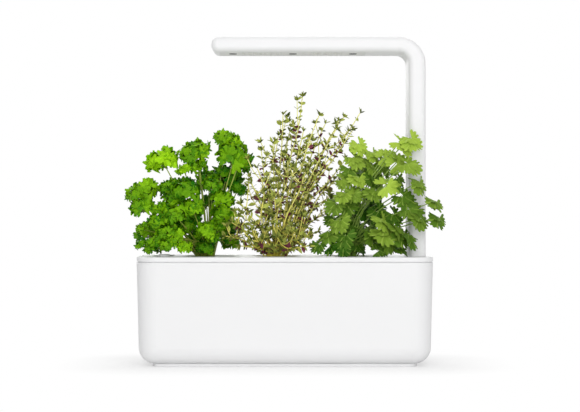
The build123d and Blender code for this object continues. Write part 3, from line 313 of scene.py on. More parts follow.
SHELL = (0.84, 0.84, 0.845)
grained("white_plastic", SHELL, roughness=0.42)
grained("foot_plastic", SHELL, roughness=0.5)
grained("cover_plastic", (0.8, 0.8, 0.79), roughness=0.55)
grained("cup_plastic", (0.82, 0.82, 0.815), roughness=0.5)
grained("pod_plastic", (0.62, 0.62, 0.56), roughness=0.55)
grained("foam", (0.8, 0.8, 0.77), roughness=0.9, scale=1600.0, depth=0.4)
grained("grip_rubber", (0.03, 0.03, 0.03), roughness=0.8, scale=1400.0, depth=0.2)
grained("screw_steel", (0.55, 0.55, 0.56), roughness=0.32, metallic=1.0)
grained("contact_brass", (0.72, 0.52, 0.2), roughness=0.28, metallic=1.0)
grained("dark_plastic", (0.02, 0.02, 0.022), roughness=0.5, depth=0.1)
grained("cable_jacket", (0.62, 0.62, 0.62), roughness=0.55)
grained("board_aluminium", (0.72, 0.72, 0.71), roughness=0.45)
grained("board_green", (0.02, 0.12, 0.04), roughness=0.35)
grained("led_white", (0.85, 0.72, 0.28), roughness=0.15, specular=0.6)
grained("led_red", (0.6, 0.04, 0.04), roughness=0.15, specular=0.6)
grained("wick_felt", (0.7, 0.68, 0.62), roughness=0.95, scale=2200.0, depth=0.5)
grained("soil", (0.05, 0.03, 0.016), roughness=0.95, scale=700.0, depth=0.9, drift=0.2)
grained("cover_paper", (0.8, 0.78, 0.72), roughness=0.9, scale=1500.0, depth=0.15)
for entry in frame["record"]["subparts"]:
    if entry["material_slot"] in FINISHES:
        nodes[entry["node"]].material_slots[0].material = FINISHES[entry["material_slot"]]
print("finishes:", len(FINISHES))

# %% [markdown]
# ## Leaf finish
# A leaf has a darker ground, lighter veins and a tone of its own. Each leaf carries a number as an
# attribute, from deep to light, so one material serves a whole plant. For parsley and cilantro that
# number is partly the leaf's own tone and partly painted shade: leaves low in the bunch and deep inside
# it are given darker values. A second one, called shade, moves single leaflets a little up or down
# from there.
# The leaf's own UV map runs from the stalk to the edge, which is where the veins are drawn.

# %% Leaf group
tree, ins, outs = new_group(
    SHADER,
    "leaf_tone",
    {
        VECTOR: ["UV"],
        NUMBER: ["Tint", "Shade", "Veins", "Vein width", "Vein share"],
        COLOUR: ["Deep", "Light", "Vein"],
    },
    {COLOUR: ["Colour"], NUMBER: ["Height"]},
)
split = add_node(tree, "ShaderNodeSeparateXYZ", {"Vector": (ins, "UV")})
shaded = maths(tree, "ADD", (ins, "Tint"), (ins, "Shade"))
ground = blend(tree, shaded, (ins, "Deep"), (ins, "Light"))
turns = maths(tree, "MULTIPLY", (split, "X"), (ins, "Veins"))
wave = maths(tree, "PINGPONG", turns, 1.0)
line = remapped(tree, wave, {"From Max": (ins, "Vein width"), "To Min": 1.0, "To Max": 0.0})
fine = maths(tree, "MULTIPLY", line, (ins, "Vein share"))
veined = blend(tree, fine, ground, (ins, "Vein"))
fill(tree, outs, {"Colour": veined, "Height": line})
leaf_group = tree
print("leaf group sockets:", len(leaf_group.interface.items_tree))

# %% Leaf finishes
LEAF_SKIN = {"Roughness": 0.6, "Specular IOR Level": 0.12}
LEAF_RELIEF = {"Strength": 0.3, "Distance": 0.3 * MM}
VEIN_WIDTH = 0.2
VEIN_SHARE = 0.4


def leafy(name, veins, deep, light, vein):
    """A leaf finish between two tones, with veins along the leaf's UV map."""
    finish, tree, skin = new_finish(name)
    # For parsley and cilantro this per-leaf tone is partly painted shade, darker low in the bunch and
    # inside it.
    tint = add_node(tree, "ShaderNodeAttribute", attribute_name="tint")
    shade = add_node(tree, "ShaderNodeAttribute", attribute_name="shade")
    uv = add_node(tree, "ShaderNodeUVMap", uv_map="leaf")
    values = {
        "UV": (uv, "UV"),
        "Tint": (tint, "Fac"),
        "Shade": (shade, "Fac"),
        "Deep": (*deep, 1),
        "Light": (*light, 1),
        "Vein": (*vein, 1),
        "Veins": veins,
        "Vein width": VEIN_WIDTH,
        "Vein share": VEIN_SHARE,
    }
    group = add_node(tree, "ShaderNodeGroup", values, node_tree=leaf_group)
    bump = add_node(tree, "ShaderNodeBump", LEAF_RELIEF | {"Height": (group, "Height")})
    fill(tree, skin, LEAF_SKIN | {"Base Color": (group, "Colour"), "Normal": (bump, "Normal")})
    return finish


parsley_leaf = leafy(
    "parsley_leaf",
    veins=5.0,
    deep=(0.018, 0.16, 0.001),
    light=(0.36, 0.7, 0.006),
    vein=(0.28, 0.57, 0.02),
)
cilantro_leaf = leafy(
    "cilantro_leaf",
    veins=7.0,
    deep=(0.02, 0.1, 0.001),
    light=(0.5, 0.7, 0.08),
    vein=(0.54, 0.72, 0.13),
)
thyme_leaf = leafy(
    "thyme_leaf",
    veins=2.0,
    deep=(0.03, 0.055, 0.004),
    light=(0.48, 0.54, 0.1),
    vein=(0.56, 0.61, 0.18),
)
thyme_dark_leaf = leafy(
    "thyme_dark_leaf",
    veins=2.0,
    deep=(0.05, 0.012, 0.015),
    light=(0.22, 0.055, 0.09),
    vein=(0.26, 0.09, 0.1),
)
print("vein width and share:", VEIN_WIDTH, VEIN_SHARE)

# %% [markdown]
# ## Stem finish
# Stems are paler than leaves and a little darker close to the soil. One flat colour would make them
# look like wire, so another group blends two colours by height, with faint patches from a noise.
# Each herb's stems use it with colours of their own.

# %% Stem group
PATCH_NOISE = {"Scale": 300.0, "Detail": 2.0}
PATCH_SHADES = {"To Min": 0.86, "To Max": 1.08}

tree, ins, outs = new_group(
    SHADER,
    "stem_tone",
    {VECTOR: ["Vector"], COLOUR: ["Low", "High"], NUMBER: ["Start", "End"]},
    {COLOUR: ["Colour"]},
)
place = {"Vector": (ins, "Vector")}
split = add_node(tree, "ShaderNodeSeparateXYZ", place)
rise = remapped(tree, (split, "Z"), {"From Min": (ins, "Start"), "From Max": (ins, "End")})
tone = blend(tree, rise, (ins, "Low"), (ins, "High"))
patch = add_node(tree, "ShaderNodeTexNoise", PATCH_NOISE | place)
shade = remapped(tree, (patch, "Fac"), PATCH_SHADES)
patched = vector_maths(tree, "MULTIPLY", tone, shade)
fill(tree, outs, {"Colour": patched})
stem_group = tree
print("stem group sockets:", len(stem_group.interface.items_tree))

# %% Stem finishes
LID_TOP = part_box("tank_lid")[1].z
STEM_SKIN = {"Roughness": 0.45}


def stemmy(name, low, high, tall):
    """A stem finish that goes from one colour at the lid to another at some height above it."""
    finish, tree, skin = new_finish(name)
    place = add_node(tree, "ShaderNodeTexCoord")
    values = {
        "Vector": (place, "Object"),
        "Low": (*low, 1),
        "High": (*high, 1),
        "Start": LID_TOP,
        "End": LID_TOP + tall,
    }
    group = add_node(tree, "ShaderNodeGroup", values, node_tree=stem_group)
    fill(tree, skin, STEM_SKIN | {"Base Color": (group, "Colour")})
    return finish


parsley_stem = stemmy("parsley_stem", low=(0.26, 0.33, 0.04), high=(0.44, 0.56, 0.08), tall=70 * MM)
cilantro_stem = stemmy("cilantro_stem", low=(0.2, 0.34, 0.04), high=(0.32, 0.48, 0.08), tall=90 * MM)
thyme_stem = stemmy("thyme_stem", low=(0.88, 0.79, 0.12), high=(0.92, 0.9, 0.28), tall=100 * MM)
print("stem tones start at:", round(LID_TOP, 3))

# %% [markdown]
# ## Leaf shapes
# A leaf blade is drawn as a fan: spokes run from the stalk to the edge, and the length of each spoke
# follows a rule with scallops along the rim and, where a leaf has lobes, clefts between them.
# The edge is then ruffled up and down, strongly for curly parsley and gently for cilantro.
# Few faces are enough, because each blade is repeated many times.

# %% Fan leaf
FAN_RINGS = 2


def blade(name, points, uvs, faces):
    """A smooth leaf blade with its UV map."""
    mesh = bpy.data.meshes.new(name)
    mesh.from_pydata(points, [], faces)
    layer = mesh.uv_layers.new(name="leaf")
    for loop in mesh.loops:
        layer.data[loop.index].uv = uvs[loop.vertex_index]
    for face in mesh.polygons:
        face.use_smooth = True
    return bpy.data.objects.new(name, mesh)


def spoke_reach(share, angle, fan):
    """How far a spoke reaches, for a leaf of length one."""
    reach = 1.0
    for cleft in fan["clefts"]:
        reach *= 1 - fan["cleft_depth"] * math.exp(-(((angle - cleft) / fan["cleft_width"]) ** 2))
    return reach * (1 - fan["tooth_depth"] * (1 - abs(math.sin(fan["teeth"] * math.pi * share))))


def fan_leaf(name, fan, phase):
    """A blade of length one along +X that faces +Z. Angles are in radians."""
    points = [(0, 0, 0)]
    uvs = [(0.5, 0)]
    for spoke in range(fan["spokes"] + 1):
        share = spoke / fan["spokes"]
        angle = (2 * share - 1) * fan["spread"]
        reach = spoke_reach(share, angle, fan)
        for ring in range(1, FAN_RINGS + 1):
            part = ring / FAN_RINGS
            wave = math.sin(fan["waves"] * angle + phase)
            lift = fan["ruffle"] * part**2 * wave - fan["cup"] * part**2
            points.append((reach * part * math.cos(angle), reach * part * math.sin(angle), lift))
            uvs.append((share, part))
    faces = []
    for spoke in range(fan["spokes"]):
        near = 1 + spoke * FAN_RINGS
        far = near + FAN_RINGS
        faces.append((0, near, far))
        faces.append((near, near + 1, far + 1, far))
    return blade(name, points, uvs, faces)


def collect(name, objects):
    """A collection of shapes for instancing, kept out of the scene."""
    collection = bpy.data.collections.new(name)
    for shape in objects:
        collection.objects.link(shape)
    return collection


SHAPES = 3
PARSLEY_PHASE = 1.7
PARSLEY_FAN = {
    "spread": 1.7, "spokes": 15, "teeth": 5, "tooth_depth": 0.4, "clefts": (),
    "ruffle": 0.2, "waves": 4.6, "cup": 0.3,
}
CILANTRO_PHASE = 1.3
CILANTRO_FAN = {
    "spread": 1.9, "spokes": 27, "teeth": 9, "tooth_depth": 0.22,
    "clefts": (-0.62, 0.62), "cleft_depth": 0.3, "cleft_width": 0.12,
    "ruffle": 0.14, "waves": 3.0, "cup": 0.2,
}
parsley_leaflets = collect(
    "parsley_leaflets",
    [fan_leaf(f"parsley_leaflet_{n}", PARSLEY_FAN, PARSLEY_PHASE * n) for n in range(SHAPES)],
)
cilantro_leaflets = [
    fan_leaf(f"cilantro_leaflet_{n}", CILANTRO_FAN, CILANTRO_PHASE * n) for n in range(SHAPES)
]

# %% [markdown]
# Thyme leaves are tiny ovals, folded along the middle and bent back at the tip. A fan would have more
# faces than such a leaf shows, so three points across and five along are enough.

# %% Thyme leaf
OVAL_STEPS = 4
OVAL_SIDES = (-1, 0, 1)
OVAL_START = 0.06
OVAL_SPAN = 0.9


def oval_leaf(name, width, fold, bend):
    """A narrow folded blade of length one along +X that faces +Z."""
    points = []
    uvs = []
    for step in range(OVAL_STEPS + 1):
        part = step / OVAL_STEPS
        half = width * math.sin(math.pi * (OVAL_START + OVAL_SPAN * part))
        droop = -bend * part**2
        for side in OVAL_SIDES:
            points.append((part, side * half, droop + fold * abs(side) * half))
            uvs.append(((side + 1) / 2, part))
    faces = []
    across = len(OVAL_SIDES)
    for step in range(OVAL_STEPS):
        for side in range(across - 1):
            low = step * across + side
            faces.append((low, low + across, low + across + 1, low + 1))
    return blade(name, points, uvs, faces)


thyme_leaves = collect(
    "thyme_leaves",
    [
        oval_leaf("thyme_leaf_a", width=0.24, fold=0.3, bend=0.2),
        oval_leaf("thyme_leaf_b", width=0.32, fold=0.2, bend=0.35),
        oval_leaf("thyme_leaf_c", width=0.17, fold=0.4, bend=0.1),
    ],
)

# %% [markdown]
# ## Node trees that grow a plant
# Geometry Nodes do the growing. The first tree turns lines into round, tapering stems.
# The second sets shapes on points, each turned by two arrows that the point carries: where the shape
# faces and where it runs. The third scatters leaflets over a dome, which makes one curly parsley head.
# The last one walks along stems and sets pairs of leaves, as thyme does.

# %% Geometry tree helpers
MATERIAL = "NodeSocketMaterial"
COLLECTION = "NodeSocketCollection"
WHOLE = "NodeSocketInt"


def geometry_tree(name, inputs):
    """An empty geometry tree with named inputs, and its two end nodes."""
    shape = {"NodeSocketGeometry": ["Geometry"]}
    return new_group("GeometryNodeTree", name, shape | inputs, shape)


def carried(tree, name, kind):
    """What every point carries under that name."""
    inputs = {"Name": name}
    return add_node(tree, "GeometryNodeInputNamedAttribute", inputs, data_type=kind), "Attribute"


def smooth_lines(tree, ins):
    """Turns the lines that come in into smooth curves."""
    curve = add_node(tree, "GeometryNodeMeshToCurve", {"Mesh": (ins, "Geometry")})
    inputs = {"Curve": (curve, "Curve")}
    return add_node(tree, "GeometryNodeCurveSplineType", inputs, spline_type="CATMULL_ROM"), "Curve"


def shapes_on_points(tree, ins, inputs):
    """Sets one shape of the collection on each point."""
    source = {"Collection": (ins, "Shapes"), "Separate Children": True, "Reset Children": True}
    shapes = add_node(tree, "GeometryNodeCollectionInfo", source)
    chosen = {"Instance": (shapes, "Instances"), "Pick Instance": True}
    return add_node(tree, "GeometryNodeInstanceOnPoints", chosen | inputs), "Instances"


def stored(tree, name, instances, value):
    """Stores a number under a name on each instance."""
    inputs = {"Geometry": instances, "Name": name, "Value": value}
    return add_node(tree, "GeometryNodeStoreNamedAttribute", inputs, domain="INSTANCE"), "Geometry"


def painted(tree, ins, outs, shapes):
    """Makes instances real, gives them the finish and hands them out."""
    whole = add_node(tree, "GeometryNodeRealizeInstances", {"Geometry": shapes})
    inputs = {"Geometry": (whole, "Geometry"), "Material": (ins, "Finish")}
    paint = add_node(tree, "GeometryNodeSetMaterial", inputs)
    fill(tree, outs, {"Geometry": (paint, "Geometry")})


# %% Random values
ENDINGS = {"FLOAT_VECTOR": "", "FLOAT": "_001", "INT": "_002"}


def between(tree, ins, low, high, kind="FLOAT"):
    """A random value between two others, which follows the tree's seed."""
    ending = ENDINGS[kind]
    inputs = {f"Min{ending}": low, f"Max{ending}": high, "Seed": (ins, "Seed")}
    return add_node(tree, "FunctionNodeRandomValue", inputs, data_type=kind), f"Value{ending}"


def either_way(tree, ins, label):
    """A random value between minus and plus the input of that name."""
    return between(tree, ins, maths(tree, "MULTIPLY", (ins, label), -1.0), (ins, label))


# %% Grow a mesh
def grow(name, mesh, tree, values):
    """Runs a tree on a mesh and returns the result as a plain mesh."""
    seed = bpy.data.objects.new(name, mesh)
    scene.collection.objects.link(seed)
    modifier = seed.modifiers.new("grow", "NODES")
    modifier.node_group = tree
    for item in tree.interface.items_tree:
        if item.in_out == "INPUT" and item.name in values:
            modifier[item.identifier] = values[item.name]
    evaluated = seed.evaluated_get(bpy.context.evaluated_depsgraph_get())
    grown = bpy.data.meshes.new_from_object(evaluated)
    bpy.data.objects.remove(seed)
    return grown


# %% Stems
STEM_SIDES = 6
STEM_STEPS = 4

tree, ins, outs = geometry_tree("stems", {MATERIAL: ["Finish"]})
inputs = {"Geometry": smooth_lines(tree, ins), "Resolution": STEM_STEPS}
finer = add_node(tree, "GeometryNodeSetSplineResolution", inputs)
inputs = {"Resolution": STEM_SIDES, "Radius": 1.0}
ring = add_node(tree, "GeometryNodeCurvePrimitiveCircle", inputs)
inputs = {
    "Curve": (finer, "Geometry"),
    "Profile Curve": (ring, "Curve"),
    "Scale": carried(tree, "thick", "FLOAT"),
    "Fill Caps": True,
}
tube = add_node(tree, "GeometryNodeCurveToMesh", inputs)
painted(tree, ins, outs, (tube, "Mesh"))
stems_tree = tree
print("nodes for stems:", len(stems_tree.nodes))


def stem_lines(name, lines):
    """A mesh of bent lines; each line is a list of (place, thickness)."""
    points = []
    edges = []
    widths = []
    for line in lines:
        start = len(points)
        points += [place for place, _ in line]
        widths += [width for _, width in line]
        edges += [(start + n, start + n + 1) for n in range(len(line) - 1)]
    mesh = bpy.data.meshes.new(name)
    mesh.from_pydata(points, edges, [])
    thick = mesh.attributes.new("thick", "FLOAT", "POINT")
    thick.data.foreach_set("value", widths)
    return mesh


# %% Shapes on arrows
tree, ins, outs = geometry_tree("shapes_on_arrows", {COLLECTION: ["Shapes"], MATERIAL: ["Finish"]})
points = add_node(tree, "GeometryNodeMeshToPoints", {"Mesh": (ins, "Geometry")})
axes = {
    "Primary Axis": carried(tree, "facing", "FLOAT_VECTOR"),
    "Secondary Axis": carried(tree, "along", "FLOAT_VECTOR"),
}
turn = add_node(tree, "FunctionNodeAxesToRotation", axes, primary_axis="Z", secondary_axis="X")
inputs = {
    "Points": (points, "Points"),
    "Instance Index": carried(tree, "kind", "INT"),
    "Rotation": (turn, "Rotation"),
    "Scale": carried(tree, "size", "FLOAT"),
}
painted(tree, ins, outs, shapes_on_points(tree, ins, inputs))
arrows_tree = tree
print("nodes for arrows:", len(arrows_tree.nodes))


def arrow_points(name, arrows):
    """A mesh of points, each with its arrows, size, kind and a tone, which for parsley and cilantro
    holds painted shade.
    """
    mesh = bpy.data.meshes.new(name)
    mesh.from_pydata([arrow["place"] for arrow in arrows], [], [])
    for label in ("facing", "along"):
        layer = mesh.attributes.new(label, "FLOAT_VECTOR", "POINT")
        layer.data.foreach_set("vector", [v for arrow in arrows for v in arrow[label]])
    for label in ("size", "tint"):
        layer = mesh.attributes.new(label, "FLOAT", "POINT")
        layer.data.foreach_set("value", [arrow[label] for arrow in arrows])
    layer = mesh.attributes.new("kind", "INT", "POINT")
    layer.data.foreach_set("value", [arrow["kind"] for arrow in arrows])
    return mesh


# %% Leaflets over a dome
DENSEST = 400.0

tree, ins, outs = geometry_tree(
    "leaflets_on_dome",
    {
        COLLECTION: ["Shapes"],
        NUMBER: ["Spacing", "Smallest", "Largest", "Tilt", "Contrast"],
        WHOLE: ["Seed"],
        MATERIAL: ["Finish"],
    },
)
inputs = {
    "Mesh": (ins, "Geometry"),
    "Distance Min": (ins, "Spacing"),
    "Density Max": DENSEST,
    "Seed": (ins, "Seed"),
}
scatter = add_node(tree, "GeometryNodeDistributePointsOnFaces", inputs, distribute_method="POISSON")
tilt = (ins, "Tilt")
back = maths(tree, "MULTIPLY", tilt, -1.0)
low = add_node(tree, "ShaderNodeCombineXYZ", {"X": back, "Y": back})
high = add_node(tree, "ShaderNodeCombineXYZ", {"X": tilt, "Y": tilt, "Z": math.tau})
spin = between(tree, ins, (low, "Vector"), (high, "Vector"), "FLOAT_VECTOR")
inputs = {"Rotation": (scatter, "Rotation"), "Rotate By": spin}
tilted = add_node(tree, "FunctionNodeRotateRotation", inputs, rotation_space="LOCAL")
inputs = {
    "Points": (scatter, "Points"),
    "Instance Index": between(tree, ins, 0, SHAPES - 1, "INT"),
    "Rotation": (tilted, "Rotation"),
    "Scale": between(tree, ins, (ins, "Smallest"), (ins, "Largest")),
}
leaflets = shapes_on_points(tree, ins, inputs)
shade = either_way(tree, ins, "Contrast")
painted(tree, ins, outs, stored(tree, "shade", leaflets, shade))
dome_tree = tree
print("nodes for a dome:", len(dome_tree.nodes))

# %% Pairs of leaves along stems
PAIR = 2

tree, ins, outs = geometry_tree(
    "leaf_pairs",
    {
        COLLECTION: ["Shapes"],
        NUMBER: ["Pitch", "Bare stem", "Smallest", "Largest", "Lift", "Twist"],
        WHOLE: ["Seed"],
        MATERIAL: ["Finish"],
    },
)
inputs = {"Curve": smooth_lines(tree, ins), "Length": (ins, "Pitch")}
walk = add_node(tree, "GeometryNodeCurveToPoints", inputs, mode="LENGTH")
place = add_node(tree, "GeometryNodeInputPosition")
split = add_node(tree, "ShaderNodeSeparateXYZ", {"Vector": (place, "Position")})
inputs = {"A": (split, "Z"), "B": (ins, "Bare stem")}
low = add_node(tree, "FunctionNodeCompare", inputs, data_type="FLOAT", operation="LESS_THAN")
inputs = {"Geometry": (walk, "Points"), "Selection": (low, "Result")}
cut = add_node(tree, "GeometryNodeDeleteGeometry", inputs, domain="POINT")
order = add_node(tree, "GeometryNodeInputIndex")
jitter, number = between(tree, ins, 0.0, math.tau)
fill(tree, jitter, {"ID": (order, "Index")})
crossed = add_node(tree, "GeometryNodeCaptureAttribute", domain="POINT")
crossed.capture_items.new("FLOAT", "Turn")
fill(tree, crossed, {"Geometry": (cut, "Geometry"), "Turn": (jitter, number)})
inputs = {"Geometry": (crossed, "Geometry"), "Amount": PAIR}
double = add_node(tree, "GeometryNodeDuplicateElements", inputs, domain="POINT")
half_turn = maths(tree, "MULTIPLY", (double, "Duplicate Index"), math.pi)
angle = maths(tree, "ADD", half_turn, (crossed, "Turn"))
inputs = {"Vector": (walk, "Normal"), "Axis": (walk, "Tangent"), "Angle": angle}
side = add_node(tree, "ShaderNodeVectorRotate", inputs, rotation_type="AXIS_ANGLE")
inputs = {"Vector": (walk, "Tangent"), "Scale": (ins, "Lift")}
lifted = add_node(tree, "ShaderNodeVectorMath", inputs, operation="SCALE")
away = vector_maths(tree, "ADD", (side, "Vector"), (lifted, "Vector"))
axes = {"Primary Axis": away, "Secondary Axis": (walk, "Tangent")}
turn = add_node(tree, "FunctionNodeAxesToRotation", axes, primary_axis="X", secondary_axis="Z")
twist = add_node(tree, "ShaderNodeCombineXYZ", {"X": either_way(tree, ins, "Twist")})
inputs = {"Rotation": (turn, "Rotation"), "Rotate By": (twist, "Vector")}
twisted = add_node(tree, "FunctionNodeRotateRotation", inputs, rotation_space="LOCAL")
inputs = {
    "Points": (double, "Geometry"),
    "Instance Index": between(tree, ins, 0, SHAPES - 1, "INT"),
    "Rotation": (twisted, "Rotation"),
    "Scale": between(tree, ins, (ins, "Smallest"), (ins, "Largest")),
}
leaves = shapes_on_points(tree, ins, inputs)
tint = between(tree, ins, 0.0, 1.0)
painted(tree, ins, outs, stored(tree, "tint", leaves, tint))
pairs_tree = tree
print("nodes for pairs:", len(pairs_tree.nodes))

# %% Finished pieces
def piece(name, mesh, body, slot, *replaced):
    """A finished piece that rides on a body and stands for CAD nodes."""
    made = bpy.data.objects.new(name, mesh)
    scene.collection.objects.link(made)
    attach(made, body)
    if replaced:
        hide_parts(*replaced)
    print(name, "triangles:", sum(len(face.vertices) - 2 for face in mesh.polygons))
    return made


# %% [markdown]
# ## Wicks, soil and the float's foam
# These soft things are hidden in the tank until the lid or the cups are lifted. Plain cylinders would
# then look like plastic. So a wick is three strands of felt twisted together, the soil is a plug whose
# skin is broken up by small random dents, and the foam is a turned ring with soft edges.

# %% Wicks
PLACES = ("left", "middle", "right")
POD_X = {}
for pot in PLACES:
    low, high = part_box(f"{pot}_cup")
    POD_X[pot] = (low.x + high.x) / 2
STRANDS = 3
STRAND_RADIUS = 1.7 * MM
STRAND_OFFSET = 1.75 * MM
WICK_TURNS = 2.5
WICK_STEPS = 30
felt = FINISHES["wick_felt"]


def wick_lines(x, low, high):
    """Three strands wound around an upright axis."""
    lines = []
    for strand in range(STRANDS):
        line = []
        for step in range(WICK_STEPS + 1):
            share = step / WICK_STEPS
            angle = math.tau * (strand / STRANDS + WICK_TURNS * share)
            side = Vector((math.cos(angle), math.sin(angle), 0)) * STRAND_OFFSET
            line.append((Vector((x, 0, low + (high - low) * share)) + side, STRAND_RADIUS))
        lines.append(line)
    return lines


for pot in PLACES:
    low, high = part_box(f"{pot}_wick")
    lines = wick_lines(POD_X[pot], low.z, high.z)
    strands = grow("strands", stem_lines("lines", lines), stems_tree, {"Finish": felt})
    piece(f"{pot}_wick_strands", strands, f"{pot}_planter", "wick_felt", f"{pot}_wick")

# %% Turned solids
TURN_STEPS = 40


def turned(name, centre, rows, finish, chance):
    """A solid turned around an upright axis from rows of (radius, height, dent)."""
    points = []
    for radius, height, dent in rows:
        for step in range(TURN_STEPS):
            angle = math.tau * step / TURN_STEPS
            out = radius - chance.uniform(0, dent)
            x = centre.x + out * math.cos(angle)
            y = centre.y + out * math.sin(angle)
            points.append((x, y, height - chance.uniform(0, dent)))
    faces = []
    for row in range(len(rows) - 1):
        for step in range(TURN_STEPS):
            low = row * TURN_STEPS + step
            next_low = row * TURN_STEPS + (step + 1) % TURN_STEPS
            faces.append((low, next_low, next_low + TURN_STEPS, low + TURN_STEPS))
    mesh = bpy.data.meshes.new(name)
    mesh.from_pydata(points, [], faces)
    mesh.materials.append(finish)
    return mesh


# %% Soil
SOIL_TAPER = 0.88
SOIL_DENT = 1.1 * MM
SOIL_ROWS = 8
SOIL_CORE = 0.05
SOIL_SEED = 3
chance = random.Random(SOIL_SEED)
for pot in PLACES:
    low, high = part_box(f"{pot}_soil")
    wide = (high.x - low.x) / 2
    tall = high.z - low.z
    rows = [(wide * SOIL_TAPER * SOIL_CORE, low.z, 0), (wide * SOIL_TAPER, low.z, 0)]
    for row in range(1, SOIL_ROWS):
        share = row / SOIL_ROWS
        rows.append((wide * (SOIL_TAPER + (1 - SOIL_TAPER) * share), low.z + tall * share, SOIL_DENT))
    for row in range(SOIL_ROWS, 0, -1):
        rows.append((wide * max(row / SOIL_ROWS, SOIL_CORE), high.z, SOIL_DENT))
    rows.append((wide * SOIL_CORE * SOIL_CORE, high.z - SOIL_DENT, 0))
    crumbs = turned("crumbs", (low + high) / 2, rows, FINISHES["soil"], chance)
    piece(f"{pot}_soil_crumbs", crumbs, f"{pot}_plant", "soil", f"{pot}_soil")

# %% Float foam
FOAM_BORE = 2.0 * MM
FOAM_EDGE = 1.2 * MM
low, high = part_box("float_foam")
wide = (high.x - low.x) / 2
rows = [
    (FOAM_BORE, low.z, 0),
    (wide - FOAM_EDGE, low.z, 0),
    (wide, low.z + FOAM_EDGE, 0),
    (wide, high.z - FOAM_EDGE, 0),
    (wide - FOAM_EDGE, high.z, 0),
    (FOAM_BORE, high.z, 0),
    (FOAM_BORE, low.z, 0),
]
ring = turned("ring", (low + high) / 2, rows, FINISHES["foam"], chance)
piece("float_foam_ring", ring, "float", "foam", "float_foam")

# %% [markdown]
# ## Curly parsley
# Each stalk ends in an umbrella of curled leaflets. Three such heads are grown on a flattened dome,
# and then set on every stalk, each turned and sized on its own, so that three are enough. The rows give
# a head's middle from the pod's axis and above the lid, then its radius in millimetres and its tone
# from deep to light. That tone is partly the head's own and partly painted shade: heads low in the
# bunch and deep inside it get darker values.

# %% Parsley heads
HEAD_FLAT = 0.6
HEAD_LOWEST = -0.35
HEAD_SPAN = 0.92
HEAD_ROWS = 8
HEAD_SEED = 11


def dome_mesh():
    """A dome of radius one, flattened, that turns under a little at its rim."""
    rows = []
    for row in range(HEAD_ROWS + 1):
        rise = HEAD_LOWEST + (math.pi / 2 - HEAD_LOWEST) * row / HEAD_ROWS
        rows.append((math.cos(rise), HEAD_FLAT * math.sin(rise), 0))
    return turned("dome", Vector(), rows, parsley_leaf, chance)


heads = []
for seed in range(SHAPES):
    values = {
        "Shapes": parsley_leaflets,
        "Spacing": 0.38,
        "Smallest": 0.48,
        "Largest": 0.7,
        "Tilt": 0.65,
        "Contrast": 0.28,
        "Seed": HEAD_SEED + seed,
        "Finish": parsley_leaf,
    }
    head = grow("head", dome_mesh(), dome_tree, values)
    heads.append(bpy.data.objects.new(f"parsley_head_{seed}", head))
parsley_heads = collect("parsley_heads", heads)
print("head faces:", [len(head.data.polygons) for head in heads])

# %% Stalks and arrows
UP = Vector((0, 0, 1))
SOIL_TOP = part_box("left_soil")[1].z
ROOT_SPREAD = 0.1
STALK_ARCH = 22 * MM
STALK_TAPER = (1, 1, 0.75)
print("stalks start at:", round(SOIL_TOP, 3))


def above_lid(pot, dx, dy, dz):
    """A place given in millimetres from the pod's axis and above the lid."""
    return Vector((POD_X[pot] + dx * MM, dy * MM, LID_TOP + dz * MM))


def stalk_root(pot, dx, dy):
    """Where a stalk leaves the soil, on the side that it leans to."""
    return Vector((POD_X[pot] + dx * ROOT_SPREAD * MM, dy * ROOT_SPREAD * MM, SOIL_TOP))


def tapered(places, width, taper):
    """A line of (place, thickness), each thickness a share of the width."""
    return [(place, width * share) for place, share in zip(places, taper)]


def stalk_line(root, top, width, knee_share, knee_rise):
    """A stalk that rises close to the pod, then leans out to its head."""
    knee = root.lerp(top, knee_share)
    knee.z = root.z + max((top.z - root.z) * knee_rise, STALK_ARCH)
    return tapered((root, knee, top), width, STALK_TAPER)


def arrow(place, facing, along, size, kind, tint):
    """One point for the tree that sets shapes on arrows."""
    return {"place": place, "facing": facing, "along": along, "size": size, "kind": kind, "tint": tint}


def plant(name, body, shapes, leaf, arrows, stem, lines):
    """Grows the leaves, which stand for the plant's CAD node, and the stems."""
    values = {"Shapes": shapes, "Finish": leaf}
    leaves = grow("leaves", arrow_points("rows", arrows), arrows_tree, values)
    piece(f"{name}_leaves", leaves, body, name, name)
    stems = grow("stems", stem_lines("lines", lines), stems_tree, {"Finish": stem})
    piece(f"{name}_stems", stems, body, name)


